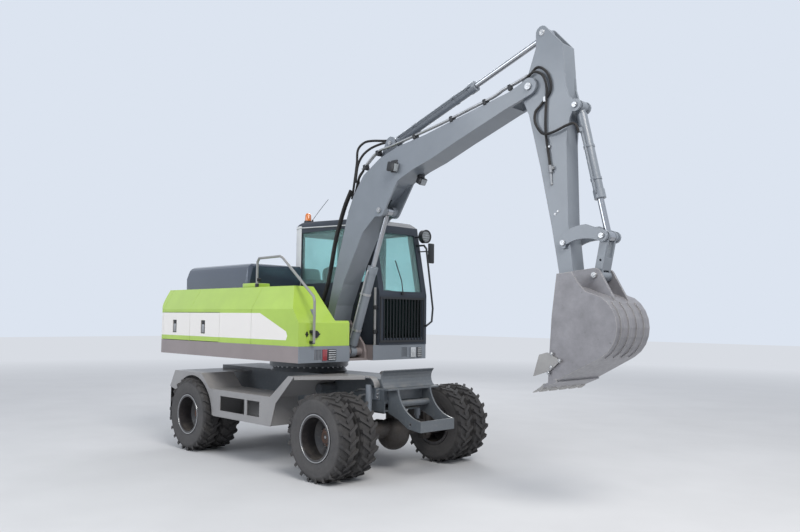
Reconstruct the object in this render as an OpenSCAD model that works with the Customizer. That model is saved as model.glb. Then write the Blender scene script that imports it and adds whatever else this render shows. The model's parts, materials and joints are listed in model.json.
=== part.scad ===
// Wheeled excavator with a one-piece boom, drawn in millimetres.
// +X points forward, +Y to the machine's left and +Z up, and the ground is at z = 0.
// Every module places its piece from the slewing centre; place() then moves it so that
// the origin lies on the ground below the middle of the whole machine.

/* [Wheels] */
// Diameter over the tread lugs
tyre_d = 1018; // [980:1:1050]
// Width of one tyre
tyre_w = 250; // [230:1:260]
// Distance between the middles of twin tyres
twin_pitch = 310; // [295:1:325]
// Width over the outer tyres
track_over = 2550; // [2500:1:2600]
// Diameter over a rim flange
rim_d = 556; // [540:1:570]
// Diameter of a rim's bead seat
bead_d = 508; // [500:1:512]
// Distance between the axles
wheelbase = 2900; // [2850:1:2950]
// Distance from the slewing centre back to the rear axle
rear_axle_back = 1152; // [1120:1:1180]
// Diameter of a wheel spindle
spindle_d = 100; // [80:1:110]
// Distance from a kingpin out to the middle of its twin tyres
kingpin_in = 385; // [375:1:395]
// Length of a steering arm
steer_arm = 235; // [230:1:245]
// Height of the tread lugs
lug_h = 26; // [20:1:32]
// Number of lugs on each side of a tyre
lugs = 22; // [18:1:26]

/* [Carriage] */
// Width over the frame's side plates
frame_w = 720; // [660:1:740]
// Thickness of the frame's plates
frame_t = 20; // [14:1:26]
// Height of the frame's top
frame_top = 1150; // [1140:1:1160]
// Height of the frame's underside between the axles
frame_low = 620; // [600:1:660]
// Width over the side fairings
fairing_over = 2400; // [2340:1:2440]
// Thickness of the fairings' sheet
sheet_t = 10; // [6:1:14]
// Height of the tool boxes' top
box_top = 900; // [880:1:920]
// Height of the tool boxes' underside
box_low = 535; // [520:1:560]
// Width of the bumper bar
bumper_w = 590; // [560:1:620]
// Distance from the slewing centre to the bumper bar's front
bumper_x = 2508; // [2480:1:2540]
// Diameter of the slewing ring
ring_d = 1120; // [1060:1:1160]
// Distance from the slewing centre to the frame's front end
frame_x = 1950; // [1940:1:1960]

/* [House] */
// Width of the house
house_w = 2248; // [2200:1:2300]
// Distance from the slewing centre to the tail
tail_r = 2360; // [2330:1:2400]
// Distance from the slewing centre to the house's front
house_x = 1220; // [1200:1:1240]
// Height of the skirt's underside
skirt_low = 1335; // [1330:1:1345]
// Height of the skirt's top
skirt_top = 1538; // [1530:1:1550]
// Height of the cowl's top
cowl_top = 2300; // [2280:1:2330]
// Height at which the side panels lean inward
crease_z = 2000; // [1980:1:2030]
// Height of the doors' top
door_top = 1950; // [1930:1:1960]
// How far the panels lean in at the top
crease_in = 174; // [150:1:200]
// Thickness of the house's doors and panels
panel_t = 34; // [28:1:40]
// Height of the raised rear hood's top
hood_top = 2660; // [2620:1:2700]
// Radius of the house's rear corners
corner_r = 120; // [100:1:130]
// Depth of the counterweight behind its seam
weight_t = 133; // [131:1:150]

/* [Cab] */
// Inner side of the cab, to the left of the machine's middle
cab_y = 200; // [190:1:215]
// Distance from the slewing centre to the cab's front
cab_x = 1240; // [1220:1:1250]
// Distance from the slewing centre back to the cab's rear
cab_back = 620; // [600:1:640]
// Height of the roof at the rear
roof_z = 3350; // [3300:1:3380]
// Thickness of the cab's walls
cab_t = 50; // [40:1:60]
// Thickness of the window glass
glass_t = 6; // [5:1:8]
// Length of the cab door
door_w = 800; // [760:1:840]

/* [Boom] */
// Width of the boom
boom_w = 300; // [280:1:310]
// Distance of the boom's middle from the machine's middle, to the right
boom_off = 90; // [80:1:95]
// Radius of the boom's foot
foot_r = 115; // [105:1:125]
// Radius of the boom's tip
tip_r = 95; // [88:1:102]
// Diameter of the main pins
pin_d = 80; // [70:1:90]
// Diameter of the bucket linkage's pins
link_pin_d = 60; // [50:1:66]

/* [Arm] */
// Width of the arm
arm_w = 212; // [204:1:216]
// Thickness of the arm's side plates at its open top
arm_t = 25; // [20:1:30]

/* [Cylinders] */
// Diameter of the boom cylinder's tube
boom_cyl_d = 125; // [115:1:135]
// Diameter of the arm cylinder's tube
arm_cyl_d = 115; // [105:1:122]
// Diameter of the bucket cylinder's tube
bucket_cyl_d = 105; // [95:1:112]
// Diameter of the piston rods
rod_d = 66; // [58:1:72]
// Width of a cylinder's eyes
eye_w = 90; // [84:1:96]

/* [Bucket] */
// Width of the bucket over its side plates
bucket_w = 780; // [740:1:820]
// Thickness of the bucket's side plates
bucket_side_t = 20; // [16:1:24]
// Thickness of the bucket's shell
bucket_t = 16; // [12:1:20]
// Number of teeth
teeth = 5; // [4:1:6]
// Length of a tooth in front of the lip
tooth_l = 205; // [180:1:220]
// Thickness of the bucket's ears
ear_t = 30; // [26:1:34]
// How much narrower the bucket is at its back, on each side
bucket_taper = 80; // [60:1:90]
// Thickness of the wear ribs on the bucket's back
rib_t = 10; // [8:1:14]

/* [Hidden] */
$fn = 48;

fit = 0.3;
swing_gap = 6;
right = -1;
left = 1;

// Wheels and axles.
hub_z = tyre_d / 2;
front_x = wheelbase - rear_axle_back;
rear_x = -rear_axle_back;
twin_y = (track_over - tyre_w - twin_pitch) / 2;
hub_reach = 295;
hub_in = twin_y - hub_reach;
kingpin_y = twin_y - kingpin_in;
axle_ball_r = 190;
front_ball_r = 205;
front_ball_z = hub_z - 60;
drive_z = hub_z + 32;
pinion_r = 56;
axle_tube_r = 85;
fork_in = kingpin_y - 115;
fork_z = 135;
fork_h = 35;
kingpin_r = 35;
knuckle_r = 64;
tie_x = front_x - steer_arm;
tie_y = kingpin_y - 30;
tie_r = 20;
arm_plate_t = 30;
tie_z = hub_z - 80;

// House and boom planes.
boom_y = -boom_off;
half_house = house_w / 2;
deck_t = 30;
block_in = -305;
cab_base_in = 110;
seam_rear = -tail_r + weight_t;
seam_door = seam_rear + 809;
seam_mid = seam_door + 821;
seam_front = 184;
seam_gap = 6;

// Pin centres as [x, z], each from the pin that carries it.
foot_pin = [700, 1750];
boom_cyl_base = foot_pin + [310, -300];
boom_cyl_eye = foot_pin + [990, 1520];
tip_pin = foot_pin + [3296, 2632];
arm_cyl_base = foot_pin + [1095, 2384];
arm_cyl_eye = tip_pin + [142, 564];
bucket_cyl_base = tip_pin + [542, -295];
bucket_pin = tip_pin + [444, -2087];
rocker_pin = bucket_pin + [-27, 385];
link_top = rocker_pin + [439, 45];
link_low = bucket_pin + [330, 45];
arm_foot_r = 78;
bucket_lip = bucket_pin + [-40, -1033];
bucket_back_c = bucket_pin + [335, -460];
bucket_back_r = 345;

// The origin lies under the middle between the tail and the bucket's back.
mid_x = (bucket_back_c[0] + bucket_back_r - tail_r) / 2;

module place() translate([-mid_x, 0, 0]) children();

// Points on an arc, as [x, y], from the angle a0 to the angle a1.
function arc(c, r, a0, a1, n = 6) =
    [for (i = [0:n]) let (a = a0 + (a1 - a0) * i / n) c + r * [cos(a), sin(a)]];

// Points that are given from the point c.
function from(c, points) = [for (p = points) c + p];

// A plate between y0 and y1 whose outline is drawn as [x, z].
module side_plate(points, y0, y1)
    translate([0, y1, 0]) rotate([90, 0, 0]) linear_extrude(y1 - y0) polygon(points);

// A round bar between y0 and y1 at the point [x, z].
module bar_y(p, r, y0, y1)
    translate([p[0], y1, p[1]]) rotate([90, 0, 0]) cylinder(h = y1 - y0, r = r);

// A box from its low corner to its high corner.
module block(low, high) translate(low) cube(high - low);

// The list in reverse.
function reversed(list) = [for (i = [len(list) - 1:-1:0]) list[i]];

// Unit normal to the right of the way from p to q.
function side_of(p, q) = [q[1] - p[1], p[0] - q[0]] / norm(q - p);

// A line of points moved to its right by t, with its corners mitred.
function beside(points, t) = [for (i = [0:len(points) - 1])
    let (a = side_of(points[max(0, i - 1)], points[max(1, i)]),
        b = i < len(points) - 1 ? side_of(points[i], points[i + 1]) : a)
    points[i] + t * (a + b) / (1 + a * b)];

// Outline of a sheet of thickness t, to the right of a line of points.
function strip(points, t) = concat(points, reversed(beside(points, t)));

// Turns +Z into the direction from p to q, both [x, z], in the plane at y.
module toward(p, q, y)
    translate([p[0], y, p[1]]) rotate([0, atan2(q[0] - p[0], q[1] - p[1]), 0]) children();

// Round bar through a list of points [x, y, z], with balls at the bends.
module tube_path(points, r) {
    for (i = [0:len(points) - 2]) {
        d = points[i + 1] - points[i];
        translate(points[i]) rotate([0, acos(d[2] / norm(d)), atan2(d[1], d[0])])
            cylinder(h = norm(d), r = r);
        if (i > 0) translate(points[i]) sphere(r = r + 0.5);
    }
}

// Puts a wheel's own frame on its axle, with +Z pointing outward.
module at_wheel(x, side)
    translate([x, side * twin_y, hub_z]) rotate([-90 * side, 0, 0]) children();

rim_half_w = 115;
rim_t = 12;
rim_flange_w = 12;

// Half of a tyre's section below its lugs as [radius, offset].
carcass_r = tyre_d / 2 - lug_h;
seat_half = rim_half_w - rim_flange_w - fit;
tyre_half = [[bead_d / 2 + fit, seat_half], [rim_d / 2 + fit, seat_half], [rim_d / 2 + 14, 0.46 * tyre_w],
    [0.36 * tyre_d, tyre_w / 2], [0.42 * tyre_d, tyre_w / 2], [carcass_r - 24, 0.47 * tyre_w],
    [carcass_r, 0.38 * tyre_w]];

// The lugs lean back from the tyre's middle to its shoulders, and their corners reach the
// full radius. One corner of each half stands on the ground.
lug_lean = 92;
lug_half = 20;
lug_reach = 0.485 * tyre_w;
lug_foot = carcass_r - 42;
lug_far = lug_lean / 2 + lug_half;
lug_top = sqrt(tyre_d * tyre_d / 4 - lug_far * lug_far);
lug_pitch = 360 / lugs;

module tread(side) for (i = [0:lugs - 1], s = [-1, 1])
    rotate([0, 0, 90 * side + atan2(lug_far, lug_top) + (i + (s > 0 ? 0.5 : 0)) * lug_pitch])
        rotate([0, 90, 0]) translate([0, side * lug_lean / 2, lug_foot]) linear_extrude(lug_top - lug_foot)
            polygon([[8 * s, -lug_half], [-s * lug_reach, -side * lug_lean - lug_half],
                [-s * lug_reach, -side * lug_lean + lug_half], [8 * s, lug_half]]);

module twin_tyres(side) {
    others = [for (i = [len(tyre_half) - 1:-1:0]) [tyre_half[i][0], -tyre_half[i][1]]];
    for (k = [-1, 1]) translate([0, 0, k * twin_pitch / 2]) union() {
        rotate_extrude($fn = 64) polygon(concat(tyre_half, others));
        tread(side);
    }
}

disc_r = 195;
nut_ring_r = 150;

module rim_section(k) {
    mid = twin_pitch / 2;
    barrel_r = bead_d / 2;
    scale([1, k]) {
        translate([barrel_r - rim_t, mid - rim_half_w]) square([rim_t, 2 * rim_half_w]);
        for (e = [mid - rim_half_w, mid + rim_half_w - rim_flange_w])
            translate([barrel_r - rim_t, e]) square([rim_d / 2 - barrel_r + rim_t, rim_flange_w]);
        polygon([[60, 0], [disc_r, 0], [barrel_r - rim_t + 1, mid - rim_half_w + 20],
            [barrel_r - rim_t + 1, mid - rim_half_w + 36], [disc_r - 8, rim_t + 4], [60, rim_t + 4]]);
    }
}

module twin_rims() {
    cap_h = 110;
    difference() {
        union() {
            rotate_extrude($fn = 64) { rim_section(1); rim_section(-1); }
            translate([0, 0, -hub_reach]) cylinder(h = hub_reach, r = 128);
            cylinder(h = cap_h - 30, r = 112);
            cylinder(h = cap_h, r = 78);
        }
        translate([0, 0, -hub_reach - 1]) cylinder(h = 161, r = spindle_d / 2 + fit);
    }
}

// Fixed axle end for the rear wheels: housing, drum and spindle.
module rear_axle() color("dimgray") union() {
    translate([rear_x, 0, hub_z]) {
        sphere(r = axle_ball_r);
        translate([axle_ball_r - 50, 0, drive_z - hub_z]) rotate([0, 90, 0]) cylinder(h = 100, r = pinion_r);
        for (side = [right, left]) rotate([-90 * side, 0, 0]) {
            cylinder(h = hub_in - 130, r1 = 115, r2 = axle_tube_r);
            translate([0, 0, hub_in - 135]) cylinder(h = 135 - fit, r = 125);
            cylinder(h = hub_in + 150, r = spindle_d / 2);
        }
    }
    for (side = [right, left])
        block([rear_x - 90, side * (frame_w / 2 - 30) - 35, hub_z + 60],
            [rear_x + 90, side * (frame_w / 2 - 30) + 35, axle_gap_z - fit]);
}

axle_gap_z = 760;

module front_axle() color("dimgray") difference() {
    union() {
        translate([front_x, 0, hub_z]) {
            translate([0, 0, front_ball_z - hub_z]) sphere(r = front_ball_r);
            translate([-axle_ball_r - 50, 0, drive_z - hub_z]) rotate([0, 90, 0])
                cylinder(h = axle_ball_r + 50, r = pinion_r);
            for (side = [right, left]) {
                rotate([-90 * side, 0, 0]) cylinder(h = fork_in + 5, r1 = 115, r2 = axle_tube_r);
                for (k = [-1, 1]) {
                    block([-50, min(side * fork_in, side * kingpin_y), k > 0 ? fork_z : -fork_z - fork_h],
                        [50, max(side * fork_in, side * kingpin_y), k > 0 ? fork_z + fork_h : -fork_z]);
                    translate([0, side * kingpin_y, k > 0 ? fork_z : -fork_z - fork_h])
                        cylinder(h = fork_h, r = 50);
                    translate([0, side * kingpin_y, k > 0 ? fork_z - 55 : -fork_z - fork_h - 12])
                        cylinder(h = fork_h + 67, r = kingpin_r);
                }
                block([-50, min(side * fork_in, side * (fork_in + 30)), -fork_z - fork_h],
                    [50, max(side * fork_in, side * (fork_in + 30)), fork_z + fork_h]);
            }
        }
        block([front_x - 80, -60, hub_z], [front_x + 80, 60, axle_gap_z - fit]);
        // Steering cylinder behind the axle.
        translate([tie_x, -180, tie_z]) rotate([-90, 0, 0]) cylinder(h = 360, r = 36);
        for (side = [right, left])
            block([tie_x, side * 120 - 20, tie_z - 28], [front_x - 60, side * 120 + 20, tie_z + 28]);
    }
    translate([tie_x, -kingpin_y, tie_z]) rotate([-90, 0, 0])
        cylinder(h = 2 * kingpin_y, r = tie_r + fit);
}

// The steering cylinder's through rod, which turns both knuckles.
module tie_rod() color("silver") union() {
    translate([tie_x, -tie_y, tie_z]) rotate([-90, 0, 0]) cylinder(h = 2 * tie_y, r = tie_r);
    for (side = [right, left])
        translate([tie_x, side * tie_y, tie_z - 22]) cylinder(h = 44, r = 34);
}

module knuckle(side) {
    arm_top = tie_z - 22 - fit;
    arm_tip = [tie_x, side * tie_y];
    difference() {
        union() {
            translate([front_x, side * kingpin_y, hub_z - fork_z + fit])
                cylinder(h = 2 * (fork_z - fit), r = knuckle_r);
            translate([front_x, side * kingpin_y, hub_z]) rotate([-90 * side, 0, 0]) {
                cylinder(h = hub_in - fit - kingpin_y, r = 62);
                translate([0, 0, hub_in - fit - kingpin_y - 50]) cylinder(h = 50, r = 122);
                cylinder(h = hub_in + 150 - kingpin_y, r = spindle_d / 2);
            }
            translate([arm_tip[0], arm_tip[1], arm_top - arm_plate_t]) cylinder(h = arm_plate_t, r = 34);
            translate([front_x, side * kingpin_y, arm_top - arm_plate_t])
                rotate([0, 0, atan2(side * (tie_y - kingpin_y), -steer_arm)])
                    translate([0, -27, 0]) cube([norm([steer_arm, tie_y - kingpin_y]), 54, arm_plate_t]);
        }
        for (z = [hub_z - fork_z - 1, hub_z + fork_z - 57])
            translate([front_x, side * kingpin_y, z]) cylinder(h = 58, r = kingpin_r + fit);
    }
}

// Upright oscillation-lock cylinders between the frame and the front axle.
lock_foot_r = 28;
lock_out = frame_w / 2 + 70;

module axle_locks() color("gray") for (side = [right, left]) {
    lock_y = side * lock_out;
    plate_in = side * (frame_w / 2 + fit);
    // The foot stands on the axle's tube, or on the fork where the track is narrow.
    tube_top = 115 - (115 - axle_tube_r) * (lock_out - lock_foot_r) / (fork_in + 5);
    foot_z = hub_z + fit + (lock_out + lock_foot_r < fork_in ? tube_top : fork_z + fork_h + 12);
    translate([front_x, lock_y, foot_z]) cylinder(h = 60, r = lock_foot_r);
    translate([front_x, lock_y, foot_z + 40]) cylinder(h = frame_top - 70 - foot_z - 40, r = 40);
    block([front_x - 20, min(plate_in, lock_y), 900], [front_x + 20, max(plate_in, lock_y), 1045]);
    block([front_x - 20, min(plate_in, plate_in + side * 14), 900],
        [front_x + 130, max(plate_in, plate_in + side * 14), 1045]);
    for (z = [930, 972, 1014]) translate([front_x + 100, plate_in, z]) rotate([-90 * side, 0, 0])
        cylinder(h = 28, r = 13);
}

module drive_line() color("dimgray") union() {
    block([-170, -170, hub_z - 90], [170, 170, frame_low + 100 - fit]);
    translate([-rear_axle_back + axle_ball_r + 51, 0, drive_z]) rotate([0, 90, 0])
        cylinder(h = front_x + rear_axle_back - 2 * axle_ball_r - 102, r = 36);
    for (x = [rear_x + axle_ball_r + 51, -240, 170, front_x - axle_ball_r - 121])
        translate([x, 0, drive_z]) rotate([0, 90, 0]) cylinder(h = 70, r = 54);
}

// Side view of the frame as [x, z].
frame_back = -1720;
frame_outline = [[frame_x, frame_top], [frame_x, 745], [1900, axle_gap_z], [1480, axle_gap_z],
    [1300, frame_low], [-700, frame_low], [-900, axle_gap_z], [-1400, axle_gap_z],
    [frame_back, 860], [frame_back, frame_top]];

module chassis_frame() color("dimgray") union() {
    half = frame_w / 2;
    for (side = [right, left]) side_plate(frame_outline,
        min(side * half, side * (half - frame_t)), max(side * half, side * (half - frame_t)));
    block([frame_back, -half, frame_top - frame_t], [frame_x, half, frame_top]);
    for (plate = [[frame_back, 860], [-760, frame_low], [880, frame_low], [frame_x - frame_t, 860]])
        block([plate[0], -half, plate[1]], [plate[0] + frame_t, half, frame_top]);
    block([-200, -half, frame_low + 100], [200, half, frame_low + 100 + frame_t]);
    block([1500, -half, axle_gap_z], [frame_x, half, axle_gap_z + frame_t]);
    block([-1400, -half, axle_gap_z], [-900, half, axle_gap_z + frame_t]);
    translate([0, 0, frame_top - 1]) cylinder(h = 71, r1 = ring_d / 2 - 20, r2 = ring_d / 2 - 60);
    for (x = [-420, 520], side = [right, left])
        block([x, min(side * half, side * box_in), box_low + 120],
            [x + 120, max(side * half, side * box_in), box_low + 250]);
    // Air tank behind the right front wheel.
    bar_y([1000, 985], 65, -620, -half + 1);
}

// Tie-down eyes on the frame's rear plate.
module tie_down_eyes() color("dimgray") for (side = [right, left]) difference() {
    side_plate([[frame_back - fit, 870], [frame_back - fit, 1010], [frame_back - 100, 1000],
        [frame_back - 170, 960], [frame_back - 170, 900], [frame_back - 120, 870]],
        side * 250 - 14, side * 250 + 14);
    bar_y([frame_back - 130, 935], eye_hole_r, side * 250 - 20, side * 250 + 20);
}

eye_hole_r = 22;
box_in = 760;
slew_low = frame_top + 70 + fit;
slew_high = skirt_low - fit;

module slew_ring() color("dimgray") difference() {
    translate([0, 0, slew_low]) cylinder(h = slew_high - slew_low, r = ring_d / 2, $fn = 96);
    translate([0, 0, slew_low - 1]) cylinder(h = slew_high - slew_low + 2, r = ring_d / 2 - 130, $fn = 96);
}

// Fairing outline as [x, z]: rear arch, tool box and the leg up to the front mudguard.
arch_r = 545;
fairing_top = [[-1800, 860], [-1660, 1100], [-920, 1100], [-680, box_top], [760, box_top], [1130, 1180],
    [1250, 1180]];
fairing_outline = concat(fairing_top, [[880, 830], [780, box_low], [-560, box_low]]);

module fairing(side) {
    outer = fairing_over / 2;
    mid_in = frame_w / 2 + fit;
    mirror([0, side > 0 ? 0 : 1, 0]) union() {
        difference() {
            side_plate(fairing_outline, outer - sheet_t, outer);
            bar_y([rear_x, hub_z], arch_r, outer - 2 * sheet_t, outer + 1);
            // Slots of the tool box, which are also its steps.
            for (slot = [[-400, 590], [250, 280]])
                block([slot[0], outer - 2 * sheet_t, box_low + 90],
                    [slot[0] + slot[1], outer + 1, box_low + 285]);
        }
        side_plate(strip(fairing_top, sheet_t), 680, outer - 1);
        side_plate(strip([for (i = [4:6]) fairing_top[i]], sheet_t), mid_in, 700);
        side_plate(strip([for (i = [1:2]) fairing_top[i]], sheet_t), mid_in, 700);
        // Tool box behind the slots.
        difference() {
            block([-520, box_in + fit, box_low], [760, outer - 1, box_top]);
            block([-520 + sheet_t, box_in + fit + sheet_t, box_low + sheet_t],
                [760 - sheet_t, outer, box_top - sheet_t]);
        }
        // Front mudguard with its lip.
        translate([0, 0, 1180 - sheet_t]) linear_extrude(sheet_t)
            polygon([[1130, mid_in], [1130, outer - 2], [1250, outer - 2], [1700, 450], [1700, mid_in]]);
        translate([0, 0, 1140]) linear_extrude(40)
            polygon(strip([[1250, outer - 2], [1700, 450]], sheet_t));
        side_plate(strip(concat([[1699, 1180]], arc([1740, 1040], 140, 90, 5, 6)), sheet_t), mid_in, 450);
    }
}

module mudflaps() color("black") for (side = [right, left]) {
    y0 = min(side * 700, side * 1190);
    y1 = max(side * 700, side * 1190);
    block([-1790, y0, 400], [-1778, y1, 857]);
}

bracket_y = 270;
bracket_t = 25;
bracket_outline = concat([[frame_x + fit, 745], [frame_x + fit, 1045], [2110, 1045]],
    arc([2535, 1120], 430, 190, 262, 8),
    [[bumper_x - 20, 691], [bumper_x - 20, 562], [2300, 585], [2130, 680]]);

module front_bracket() color("slategray") union() {
    for (side = [right, left]) difference() {
        side_plate(bracket_outline, min(side * bracket_y, side * (bracket_y + bracket_t)),
            max(side * bracket_y, side * (bracket_y + bracket_t)));
        bar_y([2330, 640], eye_hole_r, side * bracket_y - 40, side * bracket_y + 40);
    }
    block([bumper_x - 24, -bumper_w / 2, 562], [bumper_x, bumper_w / 2, 691]);
    block([2460, -bracket_y - 1, 562], [bumper_x - 20, bracket_y + 1, 577]);
    block([frame_x + fit, -bracket_y - 1, 900], [frame_x + 30, bracket_y + 1, 1045]);
    block([frame_x + fit, -440, 1030], [2110, 440, 1050]);
    // Cross tube between the side plates.
    bar_y([2080, 860], 40, -bracket_y - 1, bracket_y + 1);
    // Curved tray on top, hollow towards the front.
    tray_in = arc([frame_x + 162, 1160], 130, 130, 235, 6);
    tray_out = arc([frame_x + 162, 1160], 142, 235, 130, 6);
    side_plate(concat(tray_in, tray_out), -440, 440);
}

// Plan of the house between the front x and the tail, with round rear corners.
function house_plan(inset, front) = concat(
    [[front, -half_house + inset]],
    arc([-tail_r + corner_r, -half_house + corner_r], corner_r - inset, 270, 180, 5),
    arc([-tail_r + corner_r, half_house - corner_r], corner_r - inset, 180, 90, 5),
    [[front, half_house - inset]]);

foot_plate_t = 35;
foot_plate_in = boom_w / 2 + swing_gap;
foot_plate = concat([[foot_pin[0] - 400, skirt_low + 1], foot_pin - [270, 0]], arc(foot_pin, 140, 150, 30, 5),
    [boom_cyl_base + [70, 90], boom_cyl_base + [100, 0], [boom_cyl_base[0] + 100, skirt_low + 1]]);

module house_frame() color("rosybrown") union() {
        difference() {
            translate([0, 0, skirt_low]) linear_extrude(skirt_top - skirt_low)
                polygon(house_plan(0, house_x));
            translate([0, 0, skirt_low + deck_t]) linear_extrude(skirt_top)
                polygon(house_plan(14, house_x - 14));
            // Gap in front of the boom's foot.
            block([1120, block_in, skirt_low - 1], [house_x + 1, cab_base_in, skirt_top + 1]);
        }
        for (k = [-1, 1]) {
            y = boom_y + k * foot_plate_in;
            side_plate(foot_plate, min(y, y + k * foot_plate_t), max(y, y + k * foot_plate_t));
        }
        // Long beams back to the counterweight.
        for (y = [-330, 130]) block([-tail_r + 260, y, skirt_low + 1], [400, y + 30, skirt_top]);
        for (y = [block_in - 14, cab_base_in])
            block([1000, y, skirt_low + 1], [house_x - 1, y + 14, skirt_top]);
        bar_y(foot_pin, pin_d / 2, boom_y - foot_plate_in - foot_plate_t - 12,
            boom_y + foot_plate_in + foot_plate_t + 12);
        bar_y(boom_cyl_base, pin_d / 2 - 8, boom_y - foot_plate_in - 1, boom_y + foot_plate_in + 1);
        for (k = [-1, 1]) {
            inner = boom_y + k * (eye_w / 2 + 1);
            outer = boom_y + k * (foot_plate_in + 1);
            bar_y(boom_cyl_base, pin_d / 2 + 10, min(inner, outer), max(inner, outer));
        }
}

// Front faces of the skirt, each with a louvre and two lamps, as [low y, high y, louvre y, lamp ys].
panel_low = skirt_low + 25;
panel_high = skirt_top - 40;
front_faces = [[-half_house, block_in, -885, [[-765, -692], [-680, -545]]],
    [cab_base_in, half_house, 640, [[808, 908], [932, 1022]]]];

module front_panels() color("slategray") for (face = front_faces) union() {
    difference() {
        block([house_x + fit, face[0], skirt_low], [house_x + 12, face[1], skirt_top]);
        for (i = [0:4]) block([house_x - 1, face[2] + 6 + 22 * i, panel_low + 6],
            [house_x + 13, face[2] + 18 + 22 * i, panel_high]);
    }
    for (lamp = face[3])
        block([house_x + 5, lamp[0], panel_low], [house_x + 26, lamp[1], panel_high]);
}

module front_view(points, x0, x1)
    translate([x0, 0, 0]) rotate([90, 0, 90]) linear_extrude(x1 - x0) polygon(points);

cover_low = skirt_top + fit;
cowl_end = -cab_back - 140;
cap_r = 44;

module tank_cover() color("yellowgreen") union() {
    tank_block();
    // Round cap on the front.
    translate([house_x - 1, -half_house + 260, skirt_top + 151]) rotate([0, 90, 0])
        cylinder(h = 18, r = cap_r);
}

module tank_block() intersection() {
    front_view([[-half_house, cover_low], [-half_house, crease_z], [-half_house + crease_in, cowl_top],
        [block_in - 335, cowl_top], [block_in - 225, cowl_top - 440], [block_in, cowl_top - 440],
        [block_in, cover_low]], seam_front + seam_gap, house_x);
    side_plate([[seam_front, cover_low], [house_x, cover_low], [house_x, cowl_top - 470],
        [house_x - 340, cowl_top], [seam_front, cowl_top]], -half_house, block_in);
}

// Shell of the cowl: top, leaning sides and the fixed panels between the doors.
module engine_cowl() color("yellowgreen") difference() {
    t = panel_t;
    side_in = half_house - t;
    union() {
        difference() {
            intersection() {
                union() {
                    front_view([[-half_house, cover_low], [-half_house, crease_z],
                        [-half_house + crease_in, cowl_top], [half_house - crease_in, cowl_top],
                        [half_house, crease_z], [half_house, cover_low]], seam_rear + seam_gap, -cab_back - 15);
                    front_view([[-half_house, cover_low], [-half_house, crease_z],
                        [-half_house + crease_in, cowl_top], [block_in, cowl_top], [block_in, cover_low]],
                        -cab_back - 16, seam_front);
                }
            }
            front_view([[-side_in, cover_low - 1], [-side_in, crease_z - 8],
                [-half_house + crease_in + t / 2, cowl_top - t], [half_house - crease_in - t / 2, cowl_top - t],
                [side_in, crease_z - 8], [side_in, cover_low - 1]],
                seam_rear + seam_gap - 1, -cab_back - 15 - t);
            front_view([[-side_in, cover_low - 1], [-side_in, crease_z - 8],
                [-half_house + crease_in + t / 2, cowl_top - t], [block_in - t, cowl_top - t],
                [block_in - t, cover_low - 1]], -cab_back - 20 - t, seam_front - t);
        }
    }
    // Door openings, right and left.
    block([seam_rear, -half_house - 1, cover_low - 1], [seam_mid, -half_house + t + 2, door_top + seam_gap]);
    block([seam_rear, half_house - t - 2, cover_low - 1], [cowl_end, half_house + 1, door_top + seam_gap]);
    // Opening under the raised hood.
    block([hood_x + 180, -700, cowl_top - t - 1], [cowl_end, 700, cowl_top + 1]);
    // Seam of the upper panels.
    difference() {
        block([seam_door, -half_house - 1, door_top], [seam_door + 5, half_house + 1, cowl_top + 1]);
        front_view([[-half_house + 6, door_top - 1], [-half_house + 6, crease_z - 2],
            [-half_house + crease_in + 3, cowl_top - 6], [half_house - crease_in - 3, cowl_top - 6],
            [half_house - 6, crease_z - 2], [half_house - 6, door_top - 1]], seam_door - 1, seam_door + 6);
    }
}

// Door panel with its hinge pin, which stands on the skirt, and a latch in a pocket.
module side_door(x0, x1, side, hinge_x, latch_x) {
    y = side * half_house;
    y_in = side * (half_house - panel_t);
    y_pocket = side * (half_house - 12);
    difference() {
        block([x0, min(y, y_in), skirt_top + 7], [x1, max(y, y_in), door_top]);
        block([latch_x - 58, min(y_pocket, y + side), 1650], [latch_x + 58, max(y_pocket, y + side), 1840]);
    }
    block([latch_x - 30, min(y - side * 2, y_pocket - side), 1665],
        [latch_x + 30, max(y - side * 2, y_pocket - side), 1780]);
    translate([hinge_x, side * (half_house - 9), skirt_top + fit]) cylinder(h = 100, r = 9);
}

module counterweight() color("yellowgreen") union() {
    intersection() {
        translate([0, 0, cover_low]) linear_extrude(cowl_top - cover_low)
            polygon(house_plan(0, seam_rear));
        front_view([[-half_house, cover_low], [-half_house, crease_z], [-half_house + crease_in, cowl_top],
            [half_house - crease_in, cowl_top], [half_house, crease_z], [half_house, cover_low]],
            -tail_r, seam_rear);
    }
    block([seam_rear - 1, -900, cover_low], [-tail_r + 430, 900, cowl_top - panel_t - 30]);
}

module engine() color("gray")
    block([-tail_r + 510, -620, cover_low], [-tail_r + 1380, 520, cowl_top - 120]);

hood_t = 30;
hood_step = 130;
hood_r = 90;
hood_x = -tail_r + 120;
hood_nose = -cab_back + 220;
hood_base = cowl_top + fit;

// Hood's outlines from the side, from the front and from above, with its walls moved inward by t.
function hood_side(t) = concat([[hood_x + 1.13 * t, hood_base - (t > 0 ? 1 : 0)]],
    arc([hood_x + 250, hood_top - 100], 100 - t, 152, 90, 4),
    arc([hood_nose - 70, hood_top - 60], 60 - t, 90, 0, 4),
    [[hood_nose - 40 - t, hood_base - (t > 0 ? 1 : 0)]]);
function hood_front(t) = concat([[-800 + t, hood_base - (t > 0 ? 1 : 0)]],
    arc([-690, hood_top - hood_r], hood_r - t, 180, 90, 4), arc([690, hood_top - hood_r], hood_r - t, 90, 0, 4),
    [[800 - t, hood_base - (t > 0 ? 1 : 0)]]);
function hood_plan(t) = concat(arc([hood_x + 150, -650], 150 - t, 270, 180, 5),
    arc([hood_x + 150, 650], 150 - t, 180, 90, 5),
    [[hood_nose - t, 800 - t]], arc([hood_nose - 130, -670], 130 - t, 0, -90, 5));

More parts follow.
